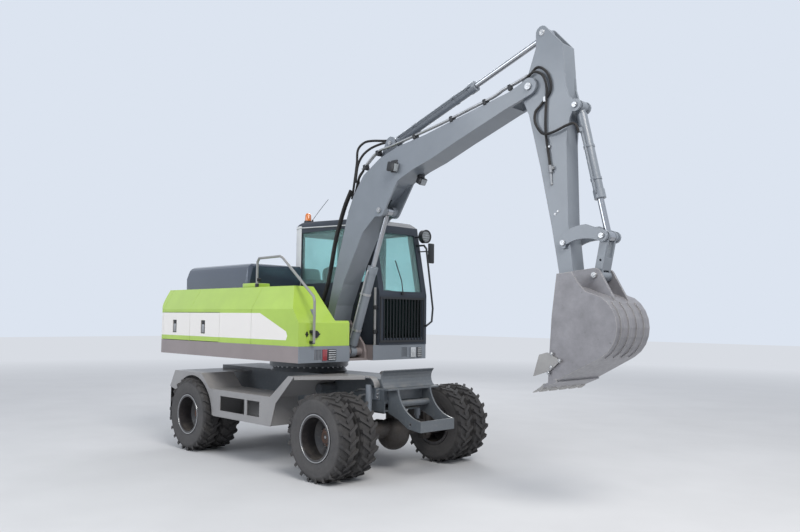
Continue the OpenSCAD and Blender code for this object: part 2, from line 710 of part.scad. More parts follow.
module hood_form(t) intersection() {
    side_plate(hood_side(t), -800, 800);
    front_view(hood_front(t), hood_x - 10, hood_nose + 10);
    translate([0, 0, hood_base - 2]) linear_extrude(hood_top) polygon(hood_plan(t));
}

module rear_hood() color("darkslategray") union() {
    difference() {
        hood_form(0);
        // Corner left free for the cab.
        block([cowl_end, hood_step, cowl_top - 1], [hood_nose + 100, 801, hood_top + 1]);
        difference() {
            hood_form(hood_t);
            block([cowl_end - hood_t, hood_step - hood_t, cowl_top - 2], [hood_nose + 100, 801, hood_top + 2]);
        }
    }
    // Hinge pins along the rear edge.
    for (y = [-500, 380]) bar_y([hood_x, hood_base + 9], 9, y, y + 120);
}

// Cab outline seen from the side as [x, z].
cab_low = skirt_top + fit;
cab_bend_z = 2230;
cab_slope = 0.206;
cab_front_top = [cab_x - cab_slope * (roof_z - 150 - cab_bend_z), roof_z - 150];
cab_outline = [[-cab_back, cab_low], [-cab_back, roof_z - 60], [-cab_back + 70, roof_z],
    [900, roof_z - 70], cab_front_top, [cab_x, cab_bend_z], [cab_x, cab_low]];
cab_hollow = [[-cab_back + cab_t, cab_low + cab_t], [-cab_back + cab_t, roof_z - cab_t - 80],
    [-cab_back + cab_t + 60, roof_z - cab_t - 30], [880, roof_z - cab_t - 100],
    [985, roof_z - 2 * cab_t - 110], [cab_x - cab_t, 2220], [cab_x - cab_t, cab_low + cab_t]];
cab_corner_r = 110;
cab_out = half_house;
door_x0 = 330;
door_x1 = door_x0 + door_w;
door_low = cab_low + 70;
door_high = roof_z - 190;
hinge_out = 14;
hinge_pin_r = 10;
hinge_h = 25;
hinge_zs = [1740, 2900];

function cab_section(inset) = concat([[cab_y + inset, cab_low - 1], [cab_out - inset, cab_low - 1]],
    arc([cab_out - cab_corner_r, roof_z - cab_corner_r + 1 - inset], cab_corner_r - inset, 0, 90, 5),
    arc([cab_y + cab_corner_r, roof_z - cab_corner_r + 1 - inset], cab_corner_r - inset, 90, 180, 5));

// Window openings as [x0, z0, x1, z1] in the side walls.
right_window = [-500, 2400, 960, roof_z - 180];
left_window = [-500, 2400, 230, roof_z - 180];
screen_y = [cab_y + 90, cab_out - 90];

module cab_solid() intersection() {
    side_plate(cab_outline, cab_y, cab_out);
    front_view(cab_section(0), -cab_back, cab_x);
}

// Door outline as [x, z], grown by g all round.
function door_outline(g) = [[door_x0 - g, door_low - g], [door_x1 + g, door_low - g],
    [door_x1 + g, cab_bend_z], [door_x1 + g - cab_slope * (door_high + g - cab_bend_z), door_high + g],
    [door_x0 - g, door_high + g]];

module cab_shell() color("gray") {
    cab_walls();
    // Fixed halves of the door's hinges.
    for (z = hinge_zs) {
        block([door_x0 - 60, cab_out - 1, z], [door_x0 - 8, cab_out + hinge_out - 4, z + hinge_h]);
        block([door_x0 - 10, cab_out + 3, z], [door_x0 + 14, cab_out + hinge_out - 4, z + hinge_h]);
        translate([door_x0 + 14, cab_out + hinge_out, z]) cylinder(h = hinge_h, r = hinge_pin_r);
    }
}

module cab_walls() difference() {
    cab_solid();
    intersection() {
        side_plate(cab_hollow, cab_y + cab_t, cab_out - cab_t);
        front_view(cab_section(cab_t), -cab_back, cab_x);
    }
    block([right_window[0], cab_y - 1, right_window[1]], [right_window[2], cab_y + cab_t + 1, right_window[3]]);
    block([left_window[0], cab_out - cab_t - 1, left_window[1]],
        [left_window[2], cab_out + 1, left_window[3]]);
    // Door opening.
    side_plate(door_outline(6), cab_out - cab_t - 1, cab_out + 1);
    // Rear window, upper and lower windscreen.
    block([-cab_back - 1, cab_y + 120, 2480], [-cab_back + cab_t + 1, cab_out - 120, roof_z - 220]);
    block([cab_x - 260, screen_y[0], 2270], [cab_x + 1, screen_y[1], roof_z - 260]);
    block([cab_x - cab_t - 1, screen_y[0], cab_low + 90], [cab_x + 1, screen_y[1], 2180]);
}

module cab_glass() color("lightblue") {
    pane_y = cab_y + cab_t / 2;
    block([right_window[0] + fit, pane_y, right_window[1] + fit],
        [right_window[2] - fit, pane_y + glass_t, right_window[3] - fit]);
    block([left_window[0] + fit, cab_out - cab_t / 2, left_window[1] + fit],
        [left_window[2] - fit, cab_out - cab_t / 2 + glass_t, left_window[3] - fit]);
    block([-cab_back + cab_t / 2, cab_y + 120 + fit, 2480 + fit],
        [-cab_back + cab_t / 2 + glass_t, cab_out - 120 - fit, roof_z - 220 - fit]);
    block([cab_x - cab_t / 2, screen_y[0] + fit, cab_low + 90 + fit],
        [cab_x - cab_t / 2 + glass_t, screen_y[1] - fit, 2180 - fit]);
    low = [cab_x - 25 - cab_slope * (2270 + fit - cab_bend_z), 2270 + fit];
    high = [cab_x - 25 - cab_slope * (roof_z - 260 - fit - cab_bend_z), roof_z - 260 - fit];
    side_plate([low, high, high - [glass_t, 0], low - [glass_t, 0]], screen_y[0] + fit, screen_y[1] - fit);
}

// The door's upper window as [x, z], shrunk by g all round.
function door_window(g) = [[door_x0 + 60 + g, 2260 + g], [door_x1 - 66 - g, 2260 + g],
    [door_x1 - 66 - g - cab_slope * (door_high - 60 - 2260), door_high - 60 - g],
    [door_x0 + 60 + g, door_high - 60 - g]];

module cab_door() color("gray") union() {
    difference() {
        side_plate(door_outline(0), cab_out - cab_t, cab_out);
        side_plate(door_window(0), cab_out - cab_t - 1, cab_out + 1);
        block([door_x0 + 60, cab_out - cab_t - 1, door_low + 80], [door_x1 - 60, cab_out + 1, 2180]);
    }
    // Hinge pins, which stand on the cab's halves.
    for (z = hinge_zs) {
        translate([door_x0 + 14, cab_out + hinge_out, z + hinge_h + fit]) cylinder(h = 50, r = hinge_pin_r);
        block([door_x0 + 6, cab_out - 1, z + hinge_h + fit],
            [door_x0 + 22, cab_out + hinge_out, z + hinge_h + fit + 50]);
    }
}

module cab_door_glass() color("lightblue") {
    y = cab_out - cab_t / 2;
    side_plate(door_window(fit), y, y + glass_t);
    block([door_x0 + 60 + fit, y, door_low + 80 + fit], [door_x1 - 60 - fit, y + glass_t, 2180 - fit]);
}

module cab_interior() color("dimgray") union() {
    mid = (cab_y + cab_out) / 2;
    floor_z = cab_low + cab_t + fit;
    block([-250, mid - 250, floor_z], [420, mid + 250, floor_z + 260]);
    block([-200, mid - 240, floor_z + 259], [330, mid + 240, floor_z + 400]);
    translate([-190, mid - 230, floor_z + 380]) rotate([0, -12, 0]) cube([130, 460, 700]);
    for (k = [-1, 1]) {
        block([-80, mid + k * 300 - 50, floor_z + 100], [420, mid + k * 300 + 50, floor_z + 520]);
        translate([340, mid + k * 300, floor_z + 500]) cylinder(h = 180, r = 22);
    }
    translate([700, mid, floor_z]) rotate([0, 12, 0]) translate([0, 0, 12]) cylinder(h = 685, r = 40);
    block([600, mid - 160, floor_z], [860, mid + 160, floor_z + 60]);
    translate([842, mid, floor_z + 672]) rotate([0, 12, 0]) cylinder(h = 30, r = 190);
}

// Distance of the cab's slanting front from the slewing centre at the height z.
function screen_x(z) = cab_x - cab_slope * max(0, z - cab_bend_z);

guard_y = [cab_y + 12, 1072];
guard_slots = 14;
guard_pitch = (guard_y[1] - guard_y[0] - 30) / guard_slots;

// Work lamp and mirror, each on a rod from the cab's slanting front.
module cab_fittings() color("gray") union() {
    for (rod = [[1060, 3070, 12], [1090, 2860, 9]])
        translate([screen_x(rod[1]) + rod[2] * cab_slope + fit, rod[0], rod[1]]) rotate([0, 90, 0])
            cylinder(h = cab_x - screen_x(rod[1]), r = rod[2]);
    translate([cab_x - 20, 1060, 3070]) rotate([0, 90, 0]) cylinder(h = 60, r = 95);
    translate([cab_x - 8, 1082, 2860]) rotate([-90, 0, 0]) cylinder(h = 110, r = 9);
    block([cab_x - 12, cab_out + 40, 2700], [cab_x + 12, cab_out + 140, 2980]);
    // Guard with upright bars in front of the lower windscreen.
    difference() {
        block([cab_x + fit, guard_y[0], 1570], [cab_x + 14, guard_y[1], 2190]);
        for (i = [0:guard_slots - 1]) block([cab_x - 1, guard_y[0] + 20 + guard_pitch * i, 1600],
            [cab_x + 15, guard_y[0] + 10 + guard_pitch * (i + 1), 2160]);
    }
}

rail_r = 17;

module handrails() color("gray") {
    rail_y = -935;
    tube_path([[20, rail_y, cowl_top + fit], [20, rail_y, 2640], [60, rail_y, 2690], [540, rail_y, 2695],
        [600, rail_y, 2670], [1262, rail_y, 2160], [1285, rail_y, 2100], [1285, rail_y, 1590],
        [house_x + fit, rail_y, 1590]], rail_r);
    translate([house_x - 8, cab_base_in + 40, skirt_top + fit]) cylinder(h = 772, r = 16);
    tube_path([[screen_x(2945) + 14 * cab_slope + fit, 1060, 2945], [1240, 1060, 2945], [1285, 1066, 2895],
        [1290, 1205, 2045], [1285, 1190, 1860], [1275, 1090, 1796], [cab_x + fit, 1090, 1796]], 14);
}

// Boom outline as [x, z], rear and top edge first, then back along the belly.
boom_back = concat(from(foot_pin, [[-50, 100], [35, 400], [135, 750], [250, 1110], [360, 1470], [480, 1750],
    [680, 2010], [980, 2185], [1300, 2290], [1770, 2360], [2600, 2535]]),
    from(tip_pin, [[-266, -10], [-26, 80]]));
boom_belly = concat(from(tip_pin, [[24, -92], [-316, -192]]),
    from(foot_pin, [[2310, 2210], [1870, 2050], [1590, 1970], [1380, 1890], [1200, 1800], [1010, 1660],
    [840, 1490], [670, 1240], [500, 950], [300, 590], [170, 310], [100, 50]]));

module boom() color("slategray") {
    half = boom_w / 2;
    slot = arm_w / 2 + swing_gap;
    difference() {
        union() {
            side_plate(concat(boom_back, boom_belly), boom_y - half, boom_y + half);
            bar_y(foot_pin, foot_r, boom_y - half, boom_y + half);
            bar_y(tip_pin, tip_r, boom_y - half, boom_y + half);
            // Ears for the boom cylinder's rod.
            for (k = [-1, 1]) {
                boss = boom_y + k * (eye_w / 2 + swing_gap);
                inner = boom_y + k * (half - 25);
                outer = boom_y + k * half;
                side_plate(concat(from(boom_cyl_eye, [[-370, -310], [-90, -80]]),
                    arc(boom_cyl_eye, 84, 240, 330, 4),
                    from(boom_cyl_eye, [[370, 410], [210, 430], [-190, 30]])),
                    min(inner, outer), max(inner, outer));
                bar_y(boom_cyl_eye, 62, min(boss, outer), max(boss, outer));
                bar_y(boom_cyl_eye, 38, min(inner, outer + k * 14), max(inner, outer + k * 14));
            }
            // Bracket for the arm cylinder.
            for (k = [-1, 1]) {
                inner = boom_y + k * (eye_w / 2 + 1);
                outer = inner + k * 25;
                side_plate(concat([arm_cyl_base + [-235, -284]], arc(arm_cyl_base, 85, 160, -10, 5),
                    [arm_cyl_base + [165, -144]]), min(inner, outer), max(inner, outer));
            }
            bar_y(arm_cyl_base, link_pin_d / 2, boom_y - eye_w / 2 - 40, boom_y + eye_w / 2 + 40);
        }
        bar_y(foot_pin, pin_d / 2 + fit, boom_y - half - 1, boom_y + half + 1);
        bar_y(tip_pin, 300, boom_y - slot, boom_y + slot);
        // Pocket behind the rod's eye.
        bar_y(boom_cyl_eye, 155, boom_y - eye_w / 2 - swing_gap, boom_y + eye_w / 2 + swing_gap);
    }
    bar_y(tip_pin, pin_d / 2, boom_y - half - 14, boom_y + half + 14);
}

// A cylinder's tube from its base eye, along +Z, open at the gland.
module cylinder_tube(d, length, hole, eye_r) difference() {
    union() {
        rotate([90, 0, 0]) translate([0, 0, -eye_w / 2]) cylinder(h = eye_w, r = eye_r);
        cylinder(h = eye_r + 40, r = eye_w / 2 - 3);
        translate([0, 0, eye_r + 25]) cylinder(h = length - eye_r - 25, r = d / 2);
        translate([0, 0, length - 90]) cylinder(h = 90, r = d / 2 + 7);
    }
    rotate([90, 0, 0]) translate([0, 0, -eye_w / 2 - 1]) cylinder(h = eye_w + 2, r = hole / 2 + fit);
    translate([0, 0, eye_r + 60]) cylinder(h = length, r = rod_d / 2 + fit);
}

// A piston rod along +Z that ends in its eye at the distance total.
module cylinder_rod(start, total, eye_r) union() {
    translate([0, 0, start]) cylinder(h = total - start, r = rod_d / 2);
    translate([0, 0, total]) rotate([90, 0, 0]) translate([0, 0, -eye_w / 2])
        cylinder(h = eye_w, r = eye_r);
}

boom_tube_l = 1190;
arm_tube_l = 1436;
bucket_tube_l = 1000;

module boom_cylinder_tube() color("gray") toward(boom_cyl_base, boom_cyl_eye, boom_y)
    cylinder_tube(boom_cyl_d, boom_tube_l, pin_d - 16, 75);
module boom_cylinder_rod() color("silver") toward(boom_cyl_base, boom_cyl_eye, boom_y)
    cylinder_rod(boom_tube_l - 530, norm(boom_cyl_eye - boom_cyl_base), 62);
module arm_cylinder_tube() color("gray") toward(arm_cyl_base, arm_cyl_eye, boom_y)
    cylinder_tube(arm_cyl_d, arm_tube_l, link_pin_d, 70);
module arm_cylinder_rod() color("silver") toward(arm_cyl_base, arm_cyl_eye, boom_y)
    cylinder_rod(arm_tube_l - 376, norm(arm_cyl_eye - arm_cyl_base), 62);
module bucket_cylinder_tube() color("gray") toward(bucket_cyl_base, link_top, boom_y)
    cylinder_tube(bucket_cyl_d, bucket_tube_l, link_pin_d, 62);
module bucket_cylinder_rod() color("silver") toward(bucket_cyl_base, link_top, boom_y)
    cylinder_rod(bucket_tube_l - 440, norm(link_top - bucket_cyl_base), 52);

// Arm outline as [x, z]: rear edge upward, then the front edge downward.
arm_outline = concat(from(bucket_pin, [[-80, 5], [-180, 555]]), from(tip_pin, [[124, -882], [-21, -302]]),
    arc(tip_pin, 140, 212, 105, 6), [arm_cyl_eye + [-73, -146]], arc(arm_cyl_eye, 75, 190, 60, 5),
    [arm_cyl_eye + [262, -186], bucket_cyl_base + [-118, 393], tip_pin + [444, -682],
    rocker_pin + [45, 190], bucket_pin + [80, 5]]);

// Lug of the bucket cylinder, which flares out of the arm's front edge.
arm_lug = concat(from(bucket_cyl_base, [[-158, 473], [-114, 343], [-104, 213], [-76, 118]]),
    arc(bucket_cyl_base, 66, 115, -115, 8),
    from(bucket_cyl_base, [[-60, -122], [-88, -237], [-100, -387], [-158, -387]]));

module arm() color("slategray") {
    half = arm_w / 2;
    gap = eye_w / 2 + swing_gap;
    difference() {
        union() {
            side_plate(arm_outline, boom_y - half, boom_y + half);
            bar_y(bucket_pin, arm_foot_r, boom_y - half, boom_y + half);
            // Ears for the bucket cylinder.
            for (k = [-1, 1]) {
                boss = boom_y + k * (eye_w / 2 + 1);
                inner = boom_y + k * (half - 25);
                outer = boom_y + k * half;
                side_plate(arm_lug, min(inner, outer), max(inner, outer));
                bar_y(bucket_cyl_base, 48, min(boss, outer), max(boss, outer));
            }
            bar_y(bucket_cyl_base, link_pin_d / 2, boom_y - half - 12, boom_y + half + 12);
        }
        bar_y(tip_pin, pin_d / 2 + fit, boom_y - half - 1, boom_y + half + 1);
        bar_y(bucket_pin, link_pin_d / 2 + fit, boom_y - half - 1, boom_y + half + 1);
        bar_y(rocker_pin, link_pin_d / 2 + fit, boom_y - half - 1, boom_y + half + 1);
        // Open top between the side plates, round the arm cylinder's rod.
        side_plate(from(arm_cyl_eye, [[-438, 154], [-438, -241], [192, -241], [282, -146], [162, 154]]),
            boom_y - half + arm_t, boom_y + half - arm_t);
    }
}

module rocker() color("slategray") union() {
    inner = arm_w / 2 + swing_gap;
    for (k = [-1, 1]) {
        a = boom_y + k * inner;
        b = a + k * 25;
        side_plate(concat(arc(rocker_pin, 62, 290, 110, 6), arc(rocker_pin + [267, -390], 560, 118, 90, 5),
            arc(link_top, 60, 90, -90, 6), arc(rocker_pin + [237, -410], 440, 68, 118, 6)),
            min(a, b), max(a, b));
        // Boss that reaches in towards the link.
        c = boom_y + k * (link_half + swing_gap);
        bar_y(link_top, 48, min(b, c), max(b, c));
        bar_y(link_top, 30, min(b, b + k * 12), max(b, b + k * 12));
    }
    bar_y(rocker_pin, link_pin_d / 2, boom_y - inner - 37, boom_y + inner + 37);
}

link_half = 81;

module bucket_link() color("slategray") difference() {
    fork_in_y = eye_w / 2 + swing_gap;
    low_half = arm_w / 2 - 2;
    union() {
        toward(link_low, link_top, boom_y) {
            for (k = [-1, 1]) {
                a = k * fork_in_y;
                b = k * link_half;
                translate([-42, min(a, b), 0]) cube([84, abs(b - a), norm(link_top - link_low)]);
            }
            translate([-42, -link_half, 60]) cube([84, 2 * link_half, 130]);
        }
        for (k = [-1, 1]) {
            a = boom_y + k * fork_in_y;
            b = boom_y + k * link_half;
            bar_y(link_top, 55, min(a, b), max(a, b));
        }
        bar_y(link_low, 55, boom_y - low_half, boom_y + low_half);
    }
    bar_y(link_low, link_pin_d / 2 + fit, boom_y - low_half - 1, boom_y + low_half + 1);
    // Lifting eye.
    bar_y(link_low + [34, 150], lift_hole_r, boom_y - link_half - 1, boom_y + link_half + 1);
}

lift_hole_r = 12;

// Bucket outlines as [x, z]; the front is open.
shell_r = bucket_back_r - rib_t;
bucket_belly = concat([bucket_lip, bucket_lip + [500, 258]], arc(bucket_back_c, shell_r, -60, 60, 8));
bucket_side = concat(from(bucket_pin, [[60, 57], [6, -355]]), [bucket_lip + [20, 338]], bucket_belly,
    from(bucket_pin, [[360, -120], [280, -33], [220, 67]]));
bucket_shell = strip(reversed(concat(bucket_belly,
    from(bucket_pin, [[360, -120], [260, -80], [70, -45]]))), bucket_t);

// The bucket from above, from its pin, narrower at its back, with its sides moved inward by t.
function bucket_plan(t) = let (wide = bucket_w / 2 - t, back = wide - bucket_taper)
    [[-540, -wide], [20, -wide], [720, -back], [720, back], [20, wide], [-540, wide]];

module bucket_width(t) translate([bucket_pin[0], boom_y, bucket_pin[1] - 1295])
    linear_extrude(1500) polygon(bucket_plan(t));

module bucket() color("gray") {
    half = bucket_w / 2;
    ear_in = arm_w / 2 + swing_gap - 1;
    difference() {
        union() {
            intersection() {
                union() {
                    difference() {
                        side_plate(bucket_side, boom_y - half, boom_y + half);
                        bucket_width(bucket_side_t);
                    }
                    side_plate(bucket_shell, boom_y - half, boom_y + half);
                }
                bucket_width(0);
            }
            for (k = [-1, 1]) {
                a = boom_y + k * ear_in;
                b = a + k * ear_t;
                side_plate(concat(arc(bucket_pin, 82, 250, 100, 5), arc(link_low, 72, 95, 20, 4),
                    from(bucket_pin, [[564, -220], [360, -127], [120, -65]])), min(a, b), max(a, b));
            }
            // Wear ribs down the back.
            for (y = [-220, -74, 74, 220])
                side_plate(strip(arc(bucket_back_c, bucket_back_r, -60, 45, 7), -rib_t - 2),
                    boom_y + y - 28, boom_y + y + 28);
            // Cutting edge.
            side_plate([bucket_lip + [-60, -34], bucket_lip + [-52, 2], bucket_lip + [90, 66],
                bucket_lip + [104, 36]], boom_y - half, boom_y + half);
        }
        bar_y(bucket_pin, 140, boom_y - ear_in, boom_y + ear_in);
    }
    for (p = [bucket_pin, link_low])
        bar_y(p, link_pin_d / 2, boom_y - ear_in - ear_t - 12, boom_y + ear_in + ear_t + 12);
}

module bucket_teeth() color("dimgray") {
    tooth_w = 76;
    tip = bucket_lip + tooth_l * [-0.905, -0.425];
    reach = bucket_w / 2 - tooth_w / 2 - 2;
    for (i = [0:teeth - 1]) {
        y = boom_y - reach + 2 * reach * i / (teeth - 1);
        side_plate([bucket_lip + [-52 - fit, 2], tip + [0, 5], tip, bucket_lip + [-60 - fit, -34]],
            y - tooth_w / 2 + 8, y + tooth_w / 2 - 8);
        // Adapter round the tooth's root.
        mid = bucket_lip + tooth_l * [-0.5, -0.24];
        side_plate([bucket_lip + [-50.2 - fit, 10], mid + [0, 14], mid + [-6, -26],
            bucket_lip + [-62.7 - fit, -46]], y - tooth_w / 2, y + tooth_w / 2);
    }
    for (k = [-1, 1]) {
        a = boom_y + k * (bucket_w / 2 + fit);
        b = a + k * 20;
        side_plate(from(bucket_lip, [[-160, 78], [-90, 293], [0, 318], [160, 248], [40, 143]]),
            min(a, b), max(a, b));
    }
}

place() chassis_frame();
place() tie_down_eyes();
place() slew_ring();
place() color("silver") fairing(right);  // fairing_right
place() color("silver") fairing(left);  // fairing_left
place() front_bracket();
place() mudflaps();
place() front_axle();
place() rear_axle();
place() drive_line();
place() axle_locks();
place() tie_rod();
place() color("dimgray") knuckle(right);  // knuckle_right
place() color("dimgray") knuckle(left);  // knuckle_left
place() color("black")  // tyres_front_right
    at_wheel(front_x, right) twin_tyres(right);
place() color("gray") at_wheel(front_x, right) twin_rims();  // rims_front_right
place() color("black")  // tyres_front_left
    at_wheel(front_x, left) twin_tyres(left);
place() color("gray") at_wheel(front_x, left) twin_rims();  // rims_front_left
place() color("black")  // tyres_rear_right
    at_wheel(rear_x, right) twin_tyres(right);
place() color("gray") at_wheel(rear_x, right) twin_rims();  // rims_rear_right
place() color("black")  // tyres_rear_left
    at_wheel(rear_x, left) twin_tyres(left);
place() color("gray") at_wheel(rear_x, left) twin_rims();  // rims_rear_left
place() house_frame();
place() front_panels();
place() counterweight();
place() engine();
place() engine_cowl();
place() tank_cover();
place() rear_hood();
place() color("whitesmoke")  // door_right_rear
    side_door(seam_rear + seam_gap, seam_door, right, seam_door - 12, seam_rear + 362);
place() color("whitesmoke")  // door_right_mid
    side_door(seam_door + seam_gap, seam_mid - seam_gap, right, seam_mid - seam_gap - 12, seam_mid - 446);
place() color("whitesmoke")  // door_left
    side_door(seam_rear + seam_gap, cowl_end - swing_gap, left, seam_rear + seam_gap + 12, cowl_end - 283);
place() cab_shell();
place() cab_glass();
place() cab_interior();
place() cab_door();
place() cab_door_glass();
place() cab_fittings();
place() handrails();
place() boom();
place() boom_cylinder_tube();
place() boom_cylinder_rod();
place() arm();
place() arm_cylinder_tube();
place() arm_cylinder_rod();
place() bucket_cylinder_tube();
place() bucket_cylinder_rod();
place() rocker();
place() bucket_link();
place() bucket();
place() bucket_teeth();
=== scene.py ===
"""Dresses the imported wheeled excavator: materials, small trim, pipes, hoses, lamps and the cab's inside.
All places are in metres. Those given from the slewing centre go through at()."""
import json
import math

import bmesh
import bpy
from mathutils import Matrix, Vector


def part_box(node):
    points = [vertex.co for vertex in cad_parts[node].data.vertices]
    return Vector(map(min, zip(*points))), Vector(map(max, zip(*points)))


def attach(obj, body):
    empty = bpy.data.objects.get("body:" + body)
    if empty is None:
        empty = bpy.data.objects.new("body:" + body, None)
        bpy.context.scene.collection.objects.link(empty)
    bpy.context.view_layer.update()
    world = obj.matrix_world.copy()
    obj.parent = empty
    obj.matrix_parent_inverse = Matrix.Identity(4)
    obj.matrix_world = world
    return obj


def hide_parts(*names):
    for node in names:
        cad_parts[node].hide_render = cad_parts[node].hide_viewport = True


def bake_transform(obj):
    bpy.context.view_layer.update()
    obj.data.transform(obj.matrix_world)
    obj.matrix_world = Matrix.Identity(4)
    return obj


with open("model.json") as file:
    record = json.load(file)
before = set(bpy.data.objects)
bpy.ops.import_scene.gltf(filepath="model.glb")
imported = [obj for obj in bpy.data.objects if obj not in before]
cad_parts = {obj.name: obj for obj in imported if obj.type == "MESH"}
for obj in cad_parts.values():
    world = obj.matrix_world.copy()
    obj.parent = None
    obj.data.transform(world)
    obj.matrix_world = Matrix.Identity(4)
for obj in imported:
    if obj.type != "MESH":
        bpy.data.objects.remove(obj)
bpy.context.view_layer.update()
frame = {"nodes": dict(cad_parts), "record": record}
scene = bpy.context.scene

# Places that everything else is worked out from
ring_low, ring_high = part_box("slew_ring")
SLEW_X = (ring_low.x + ring_high.x) / 2
BOOM_Y = -0.090
HOUSE_SIDE = 1.124
SKIRT_LOW = 1.335
HUB_Z = 0.509
WHEEL_Y = 0.995
AXLES = {"front": 1.748, "rear": -1.152}
WHEELS = [("front", "right"), ("front", "left"), ("rear", "right"), ("rear", "left")]
SIDE = {"right": -1, "left": 1}
# The x and z of each pin of the digging equipment
PIN = {
    "boom_foot": (0.700, 1.750), "boom_cyl_base": (1.010, 1.450), "boom_cyl_eye": (1.690, 3.270),
    "boom_tip": (3.996, 4.382), "arm_cyl_base": (1.795, 4.134), "arm_cyl_eye": (4.138, 4.946),
    "bucket_cyl_base": (4.538, 4.087), "rocker": (4.413, 2.680), "link_top": (4.852, 2.725),
    "link_low": (4.770, 2.340), "bucket": (4.440, 2.295),
}
AHEAD = (1, 0, 0)
UPWARD = (0, 0, 1)
DOWNWARD = (0, 0, -1)


def at(x, y, z):
    """A point given from the slewing centre, in the frame's own coordinates."""
    return Vector((x + SLEW_X, y, z))


def at_pin(name, y=BOOM_Y):
    """The place of a pin of the digging equipment, in the boom's plane or at another y."""
    x, z = PIN[name]
    return at(x, y, z)


def linear(r, g, b):
    """A colour given as 0 to 255, as linear light."""
    def one(v):
        v /= 255
        return v / 12.92 if v <= 0.04045 else ((v + 0.055) / 1.055) ** 2.4
    return (one(r), one(g), one(b), 1)


def shade(colour, factor):
    """A colour made darker or lighter by a factor."""
    return tuple(c * factor for c in colour[:3]) + (1,)


# Materials

class Tree:
    """Adds nodes and links to one node tree."""

    def __init__(self, tree):
        self.tree = tree

    def add(self, kind, **values):
        """Adds a node, and sets its own values or its inputs by name."""
        node = self.tree.nodes.new(kind)
        for key, value in values.items():
            if hasattr(node, key):
                setattr(node, key, value)
            else:
                node.inputs[key.replace("_", " ")].default_value = value
        return node

    def link(self, source, target):
        self.tree.links.new(source, target)

    def ramp(self, value, low, high, a, b):
        """Maps value from low..high to a..b."""
        node = self.add("ShaderNodeMapRange")
        self.link(value, node.inputs["Value"])
        for key, number in (("From Min", low), ("From Max", high), ("To Min", a), ("To Max", b)):
            node.inputs[key].default_value = number
        return node.outputs["Result"]

    def above(self, value, edge, blur=0.002):
        """1 where the value is above the edge, and 0 below it."""
        return self.ramp(value, edge - blur, edge + blur, 0.0, 1.0)

    def below(self, value, edge, blur=0.002):
        """1 where the value is below the edge, and 0 above it."""
        return self.ramp(value, edge + blur, edge - blur, 0.0, 1.0)

    def math(self, operation, a, b=0):
        node = self.add("ShaderNodeMath", operation=operation)
        for socket, value in zip(node.inputs, (a, b)):
            if isinstance(value, (int, float)):
                socket.default_value = value
            else:
                self.link(value, socket)
        return node.outputs["Value"]

    def distance(self, value, centre):
        """How far a value is from a centre, on either side."""
        return self.math("ABSOLUTE", self.math("SUBTRACT", value, centre))

    def mix(self, factor, a, b):
        """Mixes two colours, each a tuple or a socket."""
        node = self.add("ShaderNodeMix", data_type="RGBA")
        self.link(factor, node.inputs["Factor"])
        for key, value in (("A", a), ("B", b)):
            socket = [s for s in node.inputs if s.name == key and s.type == "RGBA"][0]
            if isinstance(value, tuple):
                socket.default_value = value
            else:
                self.link(value, socket)
        return [s for s in node.outputs if s.type == "RGBA"][0]

    def seen_sharply(self):
        """1 for rays from the camera, off gloss or through glass, and 0 for those that light the object."""
        rays = self.add("ShaderNodeLightPath").outputs
        not_camera = self.math("MAXIMUM", rays["Is Glossy Ray"], rays["Is Transmission Ray"])
        return self.math("MAXIMUM", rays["Is Camera Ray"], not_camera)


class Surface(Tree):
    """Adds nodes to one material that has a principled shader."""

    def __init__(self, material):
        material.use_nodes = True
        super().__init__(material.node_tree)
        self.material = material
        self.shader = self.tree.nodes["Principled BSDF"]
        self.place = self.add("ShaderNodeTexCoord").outputs["Object"]

    def noise(self, scale, detail=3.0, rough=0.55):
        node = self.add("ShaderNodeTexNoise", Scale=scale, Detail=detail, Roughness=rough)
        self.link(self.place, node.inputs["Vector"])
        return node.outputs["Fac"]

    def patches(self, scale, low, high, most=1.0, detail=3.0, rough=0.55):
        """Clouds that rise from 0, where the noise is low, to most, where it is high."""
        return self.ramp(self.noise(scale, detail, rough), low, high, 0.0, most)

    def axes(self):
        """The x, y and z of the point."""
        parts = self.add("ShaderNodeSeparateXYZ")
        self.link(self.place, parts.inputs["Vector"])
        return parts.outputs

    def edges(self, radius):
        """1 along the object's edges, and 0 on its faces."""
        bevel = self.add("ShaderNodeBevel", samples=4, Radius=radius)
        geometry = self.add("ShaderNodeNewGeometry")
        dot = self.add("ShaderNodeVectorMath", operation="DOT_PRODUCT")
        self.link(bevel.outputs["Normal"], dot.inputs[0])
        self.link(geometry.outputs["Normal"], dot.inputs[1])
        return self.ramp(dot.outputs["Value"], 0.995, 0.90, 0.0, 1.0)

    def upward(self):
        """1 on faces that look up."""
        geometry = self.add("ShaderNodeNewGeometry")
        parts = self.add("ShaderNodeSeparateXYZ")
        self.link(geometry.outputs["Normal"], parts.inputs["Vector"])
        return self.ramp(parts.outputs["Z"], 0.3, 1.0, 0.0, 1.0)

    def colour(self, source):
        self.link(source, self.shader.inputs["Base Color"])

    def overlay(self, mask, colour):
        """Lays a colour over what the surface already has, where the mask is 1."""
        under = self.shader.inputs["Base Color"].links[0].from_socket
        self.colour(self.mix(mask, under, colour))

    def roughness(self, scale, detail, low, high, start=0.3, end=0.7):
        """Lets the roughness wander from low to high."""
        wander = self.ramp(self.noise(scale, detail), start, end, low, high)
        self.link(wander, self.shader.inputs["Roughness"])

    def relief(self, height, strength, distance, round_edges=0.0):
        bump = self.add("ShaderNodeBump", Strength=strength, Distance=distance)
        self.link(height, bump.inputs["Height"])
        if round_edges:
            bevel = self.add("ShaderNodeBevel", samples=8, Radius=round_edges)
            self.link(bevel.outputs["Normal"], bump.inputs["Normal"])
        self.link(bump.outputs["Normal"], self.shader.inputs["Normal"])

    def set(self, **values):
        for key, value in values.items():
            self.shader.inputs[key.replace("_", " ")].default_value = value
        return self.material


def new_surface(name):
    return Surface(bpy.data.materials.new(name))


